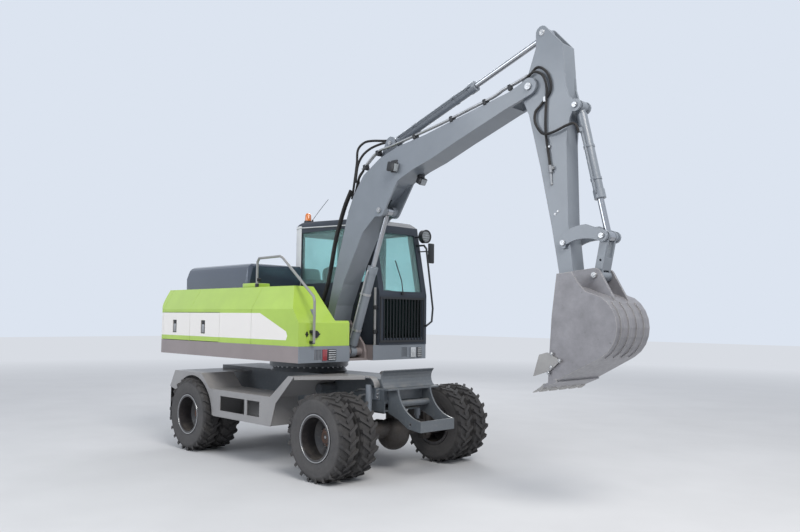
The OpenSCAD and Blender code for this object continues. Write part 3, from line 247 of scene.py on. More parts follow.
DUST = linear(176, 168, 156)
TYRE_DUST = linear(112, 109, 106)
RUBBER_DUST = linear(128, 122, 114)
RUST = linear(112, 84, 66)
RUBBED_STEEL = linear(178, 176, 172)
IRON_SKIN = linear(52, 46, 42)


def painted(name, colour, rough=0.35, coat=0.35, dust=0.10, shine=0.5, metal=0.0):
    """Sprayed paint: faint clouding, orange peel, and some dust on what looks up."""
    n = new_surface(name)
    base = n.mix(n.patches(2.3, 0.35, 0.65), colour, shade(colour, 0.90))
    settled = n.math("MULTIPLY", n.upward(), n.patches(9.0, 0.35, 0.75, dust * 3, detail=6.0))
    film = n.math("ADD", settled, n.patches(23.0, 0.52, 0.80, dust, detail=8.0))
    n.colour(n.mix(film, base, DUST))
    n.relief(n.noise(260.0, 2.0), 0.002, 0.002, round_edges=0.004)
    return n.set(Roughness=rough, Coat_Weight=coat, Coat_Roughness=0.12, Specular_IOR_Level=shine,
                 Metallic=metal)


def worn_steel(name, colour, metal=0.6, rough=0.42, rust=0.12):
    """Steel plate with scuffs, bright edges and a little rust in the pores."""
    n = new_surface(name)
    base = n.mix(n.patches(6.0, 0.35, 0.7, detail=8.0, rough=0.7), colour, shade(colour, 0.72))
    base = n.mix(n.patches(38.0, 0.60, 0.78, rust * 4, detail=9.0, rough=0.75), base, RUST)
    n.colour(n.mix(n.edges(0.006), base, RUBBED_STEEL))
    n.roughness(30.0, 6.0, rough * 0.75, rough * 1.4)
    n.relief(n.noise(120.0, 6.0, 0.7), 0.12, 0.003, round_edges=0.003)
    return n.set(Metallic=metal)


def cast(name, colour, rough=0.6):
    """Cast iron, painted thinly over a grainy skin."""
    n = new_surface(name)
    n.colour(n.mix(n.patches(11.0, 0.35, 0.7, detail=6.0), colour, IRON_SKIN))
    n.roughness(50.0, 4.0, rough * 0.8, rough * 1.2)
    n.relief(n.noise(190.0, 4.0), 0.20, 0.003, round_edges=0.004)
    return n.set(Metallic=0.2)


def rubber(name, colour, dust=0.25, rough=0.78):
    """Hose rubber, greyed by dust in broad patches."""
    n = new_surface(name)
    n.colour(n.mix(n.patches(5.0, 0.38, 0.72, dust, detail=7.0, rough=0.65), colour, RUBBER_DUST))
    n.roughness(26.0, 4.0, rough * 0.85, min(1.0, rough * 1.15))
    n.relief(n.noise(210.0, 4.0), 0.10, 0.002, round_edges=0.003)
    return n.set(Specular_IOR_Level=0.3)


def polished(name, colour, rough=0.10, metal=1.0):
    """Chromed or bright steel with faint streaks from sliding."""
    n = new_surface(name)
    n.colour(n.mix(n.patches(9.0, 0.3, 0.8), colour, shade(colour, 0.86)))
    n.roughness(7.0, 2.0, rough * 0.85, rough * 1.3, start=0.2, end=0.8)
    return n.set(Metallic=metal)


def plastic(name, colour, rough=0.45):
    """Moulded plastic with a fine grain."""
    n = new_surface(name)
    n.colour(n.mix(n.patches(4.0, 0.35, 0.65), colour, shade(colour, 0.85)))
    n.roughness(60.0, 3.0, rough * 0.85, rough * 1.2)
    n.relief(n.noise(300.0), 0.06, 0.001, round_edges=0.003)
    return n.material


BAND_LOW = 1.610
BAND_HIGH = 1.947
BAND_TIP_X = 0.990
BAND_TIP_Z = 1.665
BAND_TAIL_X = -2.227
FLANK_DEPTH = 0.011
# The upper edge of the band's nose starts to fall here, and falls by this much for each metre ahead
NOSE_X = 0.39
NOSE_Z = 1.945
NOSE_FALL = 0.393


def glossy_band(name, green, white):
    """Green paint with the white band along the flanks and round the tail, which ends in a swept nose."""
    n = Surface(painted(name, green, rough=0.28, coat=0.5, dust=0.02))
    x, y, z = n.axes()
    falling = n.math("MULTIPLY", n.math("SUBTRACT", x, NOSE_X + SLEW_X), -NOSE_FALL)
    room_over = n.math("SUBTRACT", n.math("ADD", falling, NOSE_Z), z)
    tip_reach = n.math("ADD", x, n.math("MULTIPLY", n.distance(z, BAND_TIP_Z), 0.5))
    flank = n.above(n.math("ABSOLUTE", y), HOUSE_SIDE - FLANK_DEPTH, blur=0.001)
    tail = n.below(x, BAND_TAIL_X + SLEW_X)
    mask = n.math("MAXIMUM", flank, tail)
    for part in (n.above(z, BAND_LOW), n.below(z, BAND_HIGH), n.above(room_over, 0.0),
                 n.below(tip_reach, BAND_TIP_X + SLEW_X)):
        mask = n.math("MULTIPLY", mask, part)
    n.overlay(mask, white)
    return n.material


WINDSCREEN_SPLIT_Z = 2.215


def cab_glass(name, tint, footwell_shade_tint):
    """Tinted glass that lets the seat show, painted darker in the lower windscreen as painted shade of the
    dark footwell behind it.
    """
    n = new_surface(name)
    n.colour(n.mix(n.patches(1.7, 0.4, 0.6), tint, shade(tint, 0.92)))
    n.roughness(8.0, 3.0, 0.02, 0.06)
    # Painted shade: the glass below the split is darkened for the shaded footwell behind it
    n.overlay(n.below(n.axes()[2], WINDSCREEN_SPLIT_Z, blur=0.005), footwell_shade_tint)
    return n.set(Transmission_Weight=0.85, IOR=1.05, Specular_IOR_Level=0.9)


# Where the side wall's look ends, and how fast its rings follow each other, in radians per metre
TREAD_R = 0.440
RING_WAVE = 420.0


def tyre_rubber(name, wall, tread):
    """Tyre rubber, with a lighter side wall that has fine rings, and a darker tread."""
    n = new_surface(name)
    x, _, z = n.axes()
    across = n.math("MINIMUM", *(n.distance(x, AXLES[end] + SLEW_X) for end in ("front", "rear")))
    over = n.math("SUBTRACT", z, HUB_Z)
    r = n.math("SQRT", n.math("ADD", n.math("MULTIPLY", across, across), n.math("MULTIPLY", over, over)))
    on_wall = n.below(r, TREAD_R, blur=0.010)
    patch = n.patches(5.0, 0.38, 0.72, 0.22, detail=7.0, rough=0.65)
    n.colour(n.mix(patch, n.mix(on_wall, tread, wall), TYRE_DUST))
    n.roughness(26.0, 4.0, 0.62, 0.85)
    rings = n.math("MULTIPLY", n.math("SINE", n.math("MULTIPLY", r, RING_WAVE)), on_wall)
    n.relief(n.math("ADD", rings, n.noise(210.0, 4.0)), 0.16, 0.002, round_edges=0.003)
    return n.set(Specular_IOR_Level=0.3)


# The waves of the cloth's threads and of a lens's flutes, in radians per metre
THREAD_WAVE = 900.0
FLUTE_WAVE = 700.0


def cloth(name, colour):
    """Woven seat cloth: a fine check of threads with a soft sheen."""
    n = new_surface(name)
    x, y, z = n.axes()
    weft = n.math("SINE", n.math("MULTIPLY", y, THREAD_WAVE))
    warp = n.math("SINE", n.math("MULTIPLY", n.math("ADD", x, z), THREAD_WAVE))
    n.colour(n.mix(n.patches(7.0, 0.35, 0.7, 0.5, detail=5.0), colour, shade(colour, 1.6)))
    n.relief(n.math("MULTIPLY", weft, warp), 0.25, 0.001)
    return n.set(Roughness=0.9, Sheen_Weight=0.3)


def lens(name, colour):
    """A moulded lamp lens with fine flutes."""
    n = new_surface(name)
    n.colour(n.mix(n.patches(30.0, 0.4, 0.6), colour, shade(colour, 0.8)))
    n.relief(n.math("SINE", n.math("MULTIPLY", n.axes()[1], FLUTE_WAVE)), 0.3, 0.002)
    return n.set(Roughness=0.12, Coat_Weight=0.8)


def two_rails(name, grey, black):
    """Handrail paint: grey on the right of the cab and black on its left."""
    n = Surface(painted(name, grey, rough=0.35, coat=0.3, dust=0.06))
    n.overlay(n.above(n.axes()[1], 0.55, blur=0.05), black)
    return n.material


GREEN = linear(172, 204, 78)
WHITE = linear(236, 232, 228)
LOOK = {
    "green_paint": glossy_band("green_paint", GREEN, WHITE),
    "white_paint": glossy_band("white_paint", GREEN, WHITE),
    # Partly the paint's own grey and partly a painted reflection of the sky, which gives its blue tint
    "arm_grey": painted("arm_grey", linear(124, 131, 140), rough=0.34, coat=0.35, dust=0.03),
    "bucket_grey": worn_steel("bucket_grey", linear(140, 139, 144), metal=0.15, rough=0.36, rust=0.01),
    "skirt_grey": painted("skirt_grey", linear(142, 132, 132), rough=0.4, dust=0.06),
    "fairing_grey": painted("fairing_grey", linear(146, 145, 146), rough=0.42, dust=0.10),
    "chassis_grey": painted("chassis_grey", linear(92, 98, 104), rough=0.42, dust=0.12),
    "cab_dark": painted("cab_dark", linear(56, 62, 72), rough=0.50, coat=0.0, dust=0.01, shine=0.3),
    # The hood is black; its colour is lifted to blue-grey as a painted reflection of the sky
    "hood_black": painted("hood_black", linear(62, 72, 88), rough=0.16, coat=1.0, dust=0.01, metal=0.25),
    "cast_dark": cast("cast_dark", linear(56, 53, 52)),
    "tyre": tyre_rubber("tyre", linear(76, 75, 76), linear(58, 57, 58)),
    "rim": painted("rim", linear(52, 50, 52), rough=0.4, dust=0.10),
    "chrome": polished("chrome", linear(176, 178, 182), rough=0.14),
    "steel": polished("steel", linear(158, 156, 154), rough=0.34, metal=0.7),
    # The second colour is painted shade of the footwell, seen through the lower windscreen
    "glass": cab_glass("glass", linear(212, 244, 243), linear(58, 74, 74)),
    "seat": cloth("seat", linear(44, 46, 50)),
    "rubber": rubber("rubber", linear(38, 38, 40), dust=0.12),
    "bright": polished("bright", linear(176, 177, 179), rough=0.28, metal=0.8),
    "hub": cast("hub", linear(104, 74, 60), rough=0.5),
    "black_plastic": plastic("black_plastic", linear(32, 33, 36), rough=0.4),
    # Painted highlight: the pale paint of the cab's rear post and drip rail, which stand for the sky's
    # glare
    "painted_highlight_trim": painted("painted_highlight_trim", linear(214, 216, 218), rough=0.35, coat=0.3, dust=0.04),
    "red_lens": lens("red_lens", linear(150, 46, 54)),
    "amber_lens": lens("amber_lens", linear(222, 120, 28)),
    "clear_lens": lens("clear_lens", linear(196, 200, 204)),
    "guard": plastic("guard", linear(36, 38, 42), rough=0.5),
    "lamp_glass": lens("lamp_glass", linear(158, 164, 168)),
    "rails": two_rails("rails", linear(138, 138, 138), linear(34, 36, 40)),
}

OWN_LOOK = {"handrails": "rails", "cab_fittings": "guard"}
slot_of = {s["node"]: s["material_slot"] for s in frame["record"]["subparts"]}
for node_name, node_object in frame["nodes"].items():
    look = OWN_LOOK.get(node_name, slot_of[node_name])
    node_object.data.materials.clear()
    node_object.data.materials.append(LOOK[look])


# Shapes

def finish_piece(name, bm, body, look, sharp=40):
    """Turns the mesh under construction into a piece, which rides on a body where one is named."""
    mesh = bpy.data.meshes.new(name)
    bmesh.ops.recalc_face_normals(bm, faces=bm.faces)
    bm.to_mesh(mesh)
    bm.free()
    for polygon in mesh.polygons:
        polygon.use_smooth = True
    mesh.set_sharp_from_angle(angle=math.radians(sharp))
    mesh.materials.append(LOOK[look])
    piece = bpy.data.objects.new(name, mesh)
    scene.collection.objects.link(piece)
    if body:
        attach(piece, body)
    return piece


def tilt(degrees):
    """A turn about the axis that runs across the machine."""
    return Matrix.Rotation(math.radians(degrees), 4, "Y")


def facing(place, axis):
    """A matrix at a place whose Z points along an axis."""
    return Matrix.Translation(place) @ Vector(axis).to_track_quat("Z", "Y").to_matrix().to_4x4()


def circle(count, start=0.0):
    """Angles spread evenly round a circle, which begin that share of a step on."""
    return [2 * math.pi * (i + start) / count for i in range(count)]


def on_circle(r, angle, z):
    return Vector((r * math.cos(angle), r * math.sin(angle), z))


def join_loops(bm, loops, closed=True):
    """Faces between rings of vertices, and over the two ends where it is closed."""
    sides = len(loops[0])
    for low, high in zip(loops, loops[1:]):
        for i in range(sides):
            j = (i + 1) % sides
            bm.faces.new((low[i], low[j], high[j], high[i]))
    if closed:
        bm.faces.new(reversed(loops[0]))
        bm.faces.new(loops[-1])


def add_box(bm, centre, size, bevel=0.003, turn=None):
    """A box with rounded edges."""
    made = bmesh.ops.create_cube(bm, size=1.0)["verts"]
    bmesh.ops.scale(bm, vec=size, verts=made)
    edges = list({e for v in made for e in v.link_edges})
    made = bmesh.ops.bevel(bm, geom=edges, offset=min(bevel, 0.45 * min(size)), segments=2,
                           affect="EDGES", profile=0.5)["verts"]
    made = list({v for f in {f for v in made for f in v.link_faces} for v in f.verts})
    matrix = Matrix.Translation(centre) @ (turn or Matrix.Identity(4))
    bmesh.ops.transform(bm, matrix=matrix, verts=made)


def add_lathe(bm, rings, matrix, sides=24, closed=True):
    """A turned form from (height, radius) rings about the matrix's Z."""
    loops = []
    for height, radius in rings:
        loops.append([bm.verts.new(matrix @ on_circle(radius, a, height)) for a in circle(sides)])
    join_loops(bm, loops, closed)


def add_rod(bm, start, end, r, sides=16, chamfer=0.0):
    """A round bar between two points, with chamfered ends where asked."""
    axis = end - start
    rings = [(0.0, r - chamfer), (chamfer, r), (axis.length - chamfer, r), (axis.length, r - chamfer)]
    if not chamfer:
        rings = [rings[0], rings[-1]]
    add_lathe(bm, rings, facing(start, axis), sides)


def add_bolt(bm, place, axis, r, height):
    """A hexagon head on a round washer."""
    matrix = facing(place, axis)
    washer = height * 0.2
    add_lathe(bm, [(0, r * 1.35), (washer, r * 1.35)], matrix, 16)
    add_lathe(bm, [(washer, r), (height * 0.85, r), (height, r * 0.82)], matrix, 6)


def add_ring(bm, matrix, height, radius, thick, sides=24, round_sides=8):
    """A round ring of the given thickness about the matrix's Z."""
    turns = [2 * math.pi * k / round_sides for k in range(round_sides + 1)]
    rings = [(height + thick * math.sin(a), radius + thick * math.cos(a)) for a in turns]
    add_lathe(bm, rings, matrix, sides, closed=False)


def smooth_path(points, steps=6):
    """Points of a curve that passes smoothly through the given ones."""
    padded = [2 * points[0] - points[1]] + points + [2 * points[-1] - points[-2]]
    path = []
    for a, b, c, d in zip(padded, padded[1:], padded[2:], padded[3:]):
        for i in range(steps):
            t = i / steps
            path.append(0.5 * (2 * b + (c - a) * t + (2 * a - 5 * b + 4 * c - d) * t * t
                               + (3 * b - a - 3 * c + d) * t * t * t))
    path.append(points[-1])
    return path


def add_tube(bm, path, r, sides=10, waist=1.0):
    """A round tube along a path of points, with every second ring thinner where it has a waist."""
    up = (path[1] - path[0]).orthogonal().normalized()
    loops = []
    for i, point in enumerate(path):
        ahead = (path[min(i + 1, len(path) - 1)] - path[max(i - 1, 0)]).normalized()
        up = (up - ahead * up.dot(ahead)).normalized()
        side = ahead.cross(up)
        ring_r = r if i % 2 else r * waist
        loops.append([bm.verts.new(point + ring_r * (up * math.cos(a) + side * math.sin(a)))
                      for a in circle(sides)])
    join_loops(bm, loops)


def add_ribbed_hose(bm, path, r):
    """A hose in a wire spiral, which swells at every second ring."""
    pitch = 0.011
    rings = []
    for a, b in zip(path, path[1:]):
        count = max(1, round((b - a).length / pitch))
        rings += [a.lerp(b, i / count) for i in range(count)]
    add_tube(bm, rings, r, sides=8, waist=0.82)


def cushion(name, centre, half, turn, seams):
    """A padded form that is crowned between its edges, with sewn channels across its front."""
    squareness = 5
    seam_half = 0.06
    seam_depth = 0.22
    bm = bmesh.new()
    bmesh.ops.create_cube(bm, size=2.0)
    bmesh.ops.subdivide_edges(bm, edges=bm.edges[:], cuts=15, use_grid_fill=True)
    for vert in bm.verts:
        spread = sum(abs(c) ** squareness for c in vert.co) ** (1 / squareness)
        point = vert.co / spread
        groove = sum(math.exp(-((point.x - s) / seam_half) ** 2) for s in seams)
        if point.z > 0:
            point.z *= 1 - seam_depth * groove
        vert.co = Vector(p * h for p, h in zip(point, half))
    bmesh.ops.transform(bm, matrix=Matrix.Translation(centre) @ turn, verts=bm.verts)
    piece = finish_piece(name, bm, "house", "seat", 70)


# Wheels: hub caps, nuts and the bright lips of the outer rims. Heights run out from the wheel's middle

DISC_HALF = 0.016
CAP_FACE = 0.0812
HUB_CAP = [(DISC_HALF, 0.1128), (0.074, 0.1128), (CAP_FACE, 0.106), (CAP_FACE, 0.0787), (0.104, 0.0787),
           (0.1112, 0.071), (0.1112, 0.030), (0.1065, 0.026)]
LIP_IN = 0.267
LIP_OUT = 0.272
RIM_LIP = [(LIP_IN, 0.2635), (LIP_OUT, 0.2655), (LIP_OUT, 0.2765), (LIP_IN, 0.2785), (LIP_IN, 0.2635)]
# The count, the circle's radius, the height, and each bolt's own radius and height
WHEEL_BOLTS = [(10, 0.150, DISC_HALF, 0.0135, 0.024), (8, 0.0935, CAP_FACE, 0.0065, 0.006)]


def wheel_trim(end, hand):
    side = SIDE[hand]
    body = f"wheel_{end}_{hand}"
    hub = Matrix.Translation(at(AXLES[end], side * WHEEL_Y, HUB_Z))
    wheel = hub @ Matrix.Rotation(math.radians(-90 * side), 4, "X")
    bm = bmesh.new()
    add_lathe(bm, HUB_CAP, wheel, 40)
    finish_piece(f"hub_cap_{end}_{hand}", bm, body, "hub", 30)
    bm = bmesh.new()
    for count, circle_r, height, r, tall in WHEEL_BOLTS:
        for a in circle(count, 0.5):
            add_bolt(bm, wheel @ on_circle(circle_r, a, height), (0, side, 0), r, tall)
    add_lathe(bm, [(0.1066, 0.020), (0.1125, 0.016)], wheel, 6)
    finish_piece(f"wheel_nuts_{end}_{hand}", bm, body, "bright", 30)
    bm = bmesh.new()
    add_lathe(bm, RIM_LIP, wheel, 64, closed=False)
    finish_piece(f"rim_lip_{end}_{hand}", bm, body, "bright", 30)


for end, hand in WHEELS:
    wheel_trim(end, hand)

# Carriage: bolts of the lock plates and the slewing ring, and the pipes of the axle locks

RING_BOLTS = 40
LOCK_PIPE_R = 0.009


def slewing_bolts(bm, circle_r, start, z, r, tall):
    for a in circle(RING_BOLTS, start):
        add_bolt(bm, at(*on_circle(circle_r, a, z)), DOWNWARD, r, tall)


bm = bmesh.new()
for side in (-1, 1):
    for z in (0.930, 0.972, 1.014):
        add_bolt(bm, at(1.848, side * 0.3735, z), (0, side, 0), 0.0155, 0.020)
slewing_bolts(bm, 0.535, 0.0, 1.2203, 0.012, 0.018)
finish_piece("carriage_bolts", bm, "chassis", "bright", 30)
bm = bmesh.new()
slewing_bolts(bm, 0.600, 0.5, SKIRT_LOW, 0.011, 0.014)
finish_piece("house_bolts", bm, "house", "bright", 30)
bm = bmesh.new()
for side in (-1, 1):
    for z, drop in ((1.020, 0.030), (0.955, 0.110)):
        route = [at(1.712, side * 0.430, z), at(1.660, side * 0.430, z),
                 at(1.560, side * 0.424, z - drop * 0.3), at(1.470, side * 0.400, z - drop),
                 at(1.430, side * 0.361, z - drop)]
        add_tube(bm, smooth_path(route, 5), LOCK_PIPE_R)
        add_lathe(bm, [(0, 0.014), (0.022, 0.014)], facing(route[0], (-1, 0, 0)), 6)
finish_piece("lock_pipes", bm, "chassis", "bright", 50)

# Doors: the latch in each pocket, a black plate with a bright handle and its lock

DOORS = [("door_right_rear", -1, -1.865), ("door_right_mid", -1, -1.043), ("door_left", 1, -1.043)]
for body, side, x in DOORS:
    bm = bmesh.new()
    add_box(bm, at(x, side * 1.1136, 1.745), (0.112, 0.0032, 0.186), 0.001)
    add_box(bm, at(x, side * 1.1150, 1.810), (0.074, 0.0060, 0.040), 0.002)
    finish_piece(f"latch_plate_{body}", bm, body, "black_plastic")
    bm = bmesh.new()
    add_box(bm, at(x, side * 1.1185, 1.7225), (0.066, 0.0105, 0.120), 0.004)
    add_lathe(bm, [(0, 0.011), (0.0035, 0.010)], facing(at(x, side * 1.1235, 1.752), (0, side, 0)), 20)
    finish_piece(f"latch_handle_{body}", bm, body, "bright")

# Tank cover: filler step on the cowl, latch plate on the slope, cap and rail clamps

SLOPE = tilt(-35.9)
SLOPE_LATCH = at(1.131, -0.836, 1.9545)
CAP_Y = -0.864
CAP_Z = 1.689
LOCK_Y = -0.998
RAIL_Y = -0.935

bm = bmesh.new()
add_box(bm, at(-0.170, -0.820, 2.329), (0.320, 0.240, 0.058), 0.012)
finish_piece("filler_step", bm, "house", "green_paint")
bm = bmesh.new()
add_box(bm, SLOPE_LATCH + Vector((0.003, 0, 0.002)), (0.007, 0.046, 0.108), 0.003, SLOPE)
add_box(bm, SLOPE_LATCH + Vector((0.008, 0, 0.006)), (0.009, 0.026, 0.060), 0.003, SLOPE)
finish_piece("tank_latch", bm, "house", "arm_grey")
bm = bmesh.new()
add_lathe(bm, [(-0.016, 0.0465), (0.004, 0.0465), (0.008, 0.042), (0.008, 0.020), (0.014, 0.018),
               (0.014, 0.008)], facing(at(1.2365, CAP_Y, CAP_Z), AHEAD), 28)
add_box(bm, at(1.2405, CAP_Y, CAP_Z), (0.010, 0.126, 0.022), 0.004)
add_box(bm, at(1.2250, LOCK_Y, 1.690), (0.010, 0.022, 0.062), 0.003)
add_box(bm, at(1.2250, LOCK_Y, 1.690), (0.010, 0.048, 0.016), 0.003)
for z in (1.590, 1.720):
    add_box(bm, at(1.252, RAIL_Y, z), (0.064, 0.046, 0.040), 0.006)
add_lathe(bm, [(0, 0.026), (0.045, 0.026)], facing(at(0.020, RAIL_Y, 2.3005), UPWARD), 20)
add_box(bm, at(0.020, -0.915, 2.400), (0.046, 0.062, 0.044), 0.006)
finish_piece("cap_and_clamps", bm, "house", "black_plastic")

# Lamps in the front faces of the skirt, and in the tail

LAMP_LOW = 1.360
LAMP_HIGH = 1.498
LAMP_X = 1.246
RIB_MARGIN = 0.014
# The name, the look, the two ends in y and the count of pale ribs
SKIRT_LAMPS = [("right_red", "red_lens", -0.765, -0.692, 0),
               ("right_ribbed", "black_plastic", -0.680, -0.545, 5),
               ("left_pale", "clear_lens", 0.808, 0.908, 0),
               ("left_ribbed", "black_plastic", 0.932, 1.022, 5)]
for name, look, low_y, high_y, ribs in SKIRT_LAMPS:
    mid = (low_y + high_y) / 2
    wide = high_y - low_y
    bm = bmesh.new()
    add_box(bm, at(LAMP_X + 0.002, mid, (LAMP_LOW + LAMP_HIGH) / 2), (0.008, wide + 0.002, 0.140))
    finish_piece(f"lamp_{name}", bm, "house", look)
    if ribs:
        bm = bmesh.new()
        for i in range(ribs):
            z = LAMP_LOW + RIB_MARGIN + (LAMP_HIGH - LAMP_LOW - 2 * RIB_MARGIN) * i / (ribs - 1)
            add_box(bm, at(LAMP_X + 0.007, mid, z), (0.006, wide * 0.84, 0.012), 0.002)
        finish_piece(f"lamp_ribs_{name}", bm, "house", "clear_lens")
for side in (-1, 1):
    bm = bmesh.new()
    add_box(bm, at(-2.3640, side * 0.860, 1.440), (0.010, 0.180, 0.090), 0.004)
    finish_piece(f"tail_lamp_{side + 1}", bm, "house", "red_lens")

# Cab: a pale rear post and drip rail that are painted highlights of the sky on the cab's rounded edges,
# door hinges, beacon, aerial, work lamp, mirror, wiper and handle

POST_Z = 2.790
POST_TALL = 0.980
ROOF_Y = 0.345
AERIAL_X = -0.430
BEACON = facing(at(-0.540, ROOF_Y, 3.350), UPWARD)
HINGE_X = 1.212

# Painted highlight: pale strips on the cab's rear corner and along its roof edge stand for the sky's glare
# on those rounded edges
bm = bmesh.new()
add_box(bm, at(-0.565, 0.1975, POST_Z), (0.120, 0.005, POST_TALL), 0.002)
add_box(bm, at(-0.6225, 0.2255, POST_Z), (0.005, 0.061, POST_TALL), 0.002)
add_tube(bm, [at(-0.622, 0.196, 3.236), at(-0.540, 0.196, 3.252), at(0.900, 0.196, 3.196),
              at(1.030, 0.198, 3.150)], 0.009, 8)
finish_piece("painted_highlight_post", bm, "house", "painted_highlight_trim")
bm = bmesh.new()
add_lathe(bm, [(-0.012, 0.062), (0.020, 0.062), (0.026, 0.056), (0.026, 0.020)], BEACON, 24)
add_tube(bm, [at(AERIAL_X, ROOF_Y, 3.338), at(AERIAL_X, ROOF_Y, 3.385)], 0.014, 12)
add_tube(bm, [at(AERIAL_X, ROOF_Y, 3.380), at(-0.245, ROOF_Y, 3.525), at(-0.060, ROOF_Y, 3.660)], 0.004, 6)
for z in (1.716, 2.042):
    add_lathe(bm, [(-0.028, 0.020), (-0.020, 0.028), (0.020, 0.028), (0.028, 0.020)],
              facing(at(HINGE_X, 0.150, z), UPWARD), 16)
    add_box(bm, at(HINGE_X, 0.176, z), (0.024, 0.046, 0.024), 0.004)
finish_piece("cab_small_parts", bm, "house", "black_plastic")
bm = bmesh.new()
add_lathe(bm, [(0.026, 0.050), (0.110, 0.046), (0.138, 0.034), (0.148, 0.012)], BEACON, 24)
finish_piece("beacon", bm, "house", "amber_lens")

LAMP_Y = 1.060
LAMP_Z = 3.070
CAGE_R = 0.092
CAGE_PITCH = 0.034
MIRROR_Y = 1.214
MIRROR_Z = 2.840
work_lamp = facing(at(1.280, LAMP_Y, LAMP_Z), AHEAD)
bm = bmesh.new()
add_lathe(bm, [(-0.004, 0.0965), (0.010, 0.0965), (0.014, 0.092), (0.010, 0.084), (0.002, 0.080),
               (0.001, 0.010)], work_lamp, 36)
finish_piece("work_lamp_rim", bm, "house", "black_plastic", 30)
bm = bmesh.new()
add_lathe(bm, [(0.003, 0.079), (0.007, 0.060), (0.010, 0.030), (0.011, 0.006)], work_lamp, 32)
finish_piece("work_lamp_glass", bm, "house", "lamp_glass", 60)
bm = bmesh.new()
for k in (-2, -1, 0, 1, 2):
    z = LAMP_Z + CAGE_PITCH * k
    reach = math.sqrt(CAGE_R ** 2 - (CAGE_PITCH * k) ** 2)
    wire = [at(1.290, LAMP_Y - reach, z), at(1.304, LAMP_Y - reach * 0.7, z),
            at(1.304, LAMP_Y + reach * 0.7, z), at(1.290, LAMP_Y + reach, z)]
    add_tube(bm, wire, 0.0028, 6)
add_ring(bm, work_lamp, 0.014, 0.093, 0.004, 32, 6)
add_box(bm, at(1.240, MIRROR_Y, MIRROR_Z), (0.034, 0.110, 0.290), 0.014)
finish_piece("lamp_cage_and_mirror", bm, "house", "black_plastic")
bm = bmesh.new()
add_box(bm, at(1.2226, MIRROR_Y, MIRROR_Z), (0.002, 0.088, 0.262), 0.0008)
finish_piece("mirror_glass", bm, "house", "chrome")

bm = bmesh.new()
add_tube(bm, [at(1.2475, 0.640, 2.262), at(1.240, 0.620, 2.420), at(1.170, 0.560, 2.700)], 0.007, 8)
add_box(bm, at(1.2475, 0.640, 2.240), (0.030, 0.060, 0.040), 0.008)
finish_piece("wiper", bm, "house", "black_plastic")
HANDLE_Z = 2.220
bm = bmesh.new()
add_box(bm, at(1.000, 1.1320, HANDLE_Z), (0.150, 0.012, 0.028), 0.005)
for x in (0.940, 1.060):
    add_box(bm, at(x, 1.1260, HANDLE_Z), (0.024, 0.010, 0.034))
finish_piece("door_handle", bm, "cab_door", "black_plastic")

# Cab inside: this stands for the plain seat, consoles and steering wheel

SEAT_Y = 0.662
FLOOR_Z = 1.5886
CONSOLE_Y = 0.300
COLUMN_LEAN = math.radians(12)
LEVER = [(0, 0.030), (0.020, 0.020), (0.050, 0.013), (0.110, 0.013), (0.125, 0.022), (0.170, 0.024),
         (0.180, 0.014)]

bm = bmesh.new()
add_box(bm, at(0.085, SEAT_Y, FLOOR_Z + 0.130), (0.670, 0.500, 0.258), 0.020)
add_box(bm, at(0.730, SEAT_Y, FLOOR_Z + 0.030), (0.260, 0.320, 0.058), 0.012)
for side in (-1, 1):
    y = SEAT_Y + side * CONSOLE_Y
    add_box(bm, at(0.170, y, FLOOR_Z + 0.310), (0.500, 0.100, 0.418), 0.024)
    add_lathe(bm, LEVER, facing(at(0.340, y, FLOOR_Z + 0.500), UPWARD), 16)
add_rod(bm, at(0.7025, SEAT_Y, FLOOR_Z + 0.012), at(0.845, SEAT_Y, FLOOR_Z + 0.676), 0.040, 20, 0.004)
steering = facing(at(0.842, SEAT_Y, FLOOR_Z + 0.672), (math.sin(COLUMN_LEAN), 0, math.cos(COLUMN_LEAN)))
add_ring(bm, steering, 0.016, 0.176, 0.014, 40, 10)
add_lathe(bm, [(0.002, 0.050), (0.022, 0.044), (0.026, 0.020)], steering, 24)
for degrees in (0, 120, 240):
    spoke = steering @ Matrix.Rotation(math.radians(degrees), 4, "Z")
    add_tube(bm, [spoke @ Vector((0.030, 0, 0.012)), spoke @ Vector((0.170, 0, 0.016))], 0.009, 8)
interior = finish_piece("cab_fixtures", bm, "house", "black_plastic")
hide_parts("cab_interior")
cushion("seat_cushion", at(0.065, SEAT_Y, FLOOR_Z + 0.330), (0.268, 0.243, 0.074), Matrix.Identity(4),
        seams=(-0.45, 0.05, 0.50))
cushion("seat_back", at(-0.199, SEAT_Y, FLOOR_Z + 0.736), (0.352, 0.232, 0.068), tilt(-12) @ tilt(90),
        seams=(-0.55, -0.10, 0.35))

# Pipes that lie along a cylinder, held by bands round its tube

def cylinder_line(base, eye):
    """The place of a cylinder's base pin, and the direction to the pin at its rod's eye."""
    start = at_pin(base)
    return start, (at_pin(eye) - start).normalized()


def add_bands(bm, start, along, reaches, tube_r, thick, wide, lug_y, lug_deep):
    """Bands at given distances from the base pin, each with a lug for the pipe."""
    for reach in reaches:
        band = [(0, tube_r), (0, tube_r + thick), (wide, tube_r + thick), (wide, tube_r)]
        add_lathe(bm, band, facing(start + reach * along, along), 32, closed=False)
        lug = start + (reach + wide / 2) * along + Vector((0, lug_y, 0))
        add_box(bm, lug, (wide, lug_deep, wide))


def beside(start, along, places):
    """Points given as distances along a line and to its side, in y."""
    return [start + reach * along + Vector((0, y, 0)) for reach, y in places]


# Boom: hard pipes with clamps, lamps, and hoses from the house

PIPE_R = 0.013
CYLINDER_PIPE_R = 0.010
BOOM_HOSE_R = 0.016
HOUSE_HOSE_R = 0.021
UPPER_PIPE = [(1.347, 3.840), (1.632, 4.030), (1.909, 4.072), (2.677, 4.196), (3.187, 4.300),
              (3.480, 4.360), (3.580, 4.392), (3.660, 4.424), (3.821, 4.460), (3.979, 4.506)]
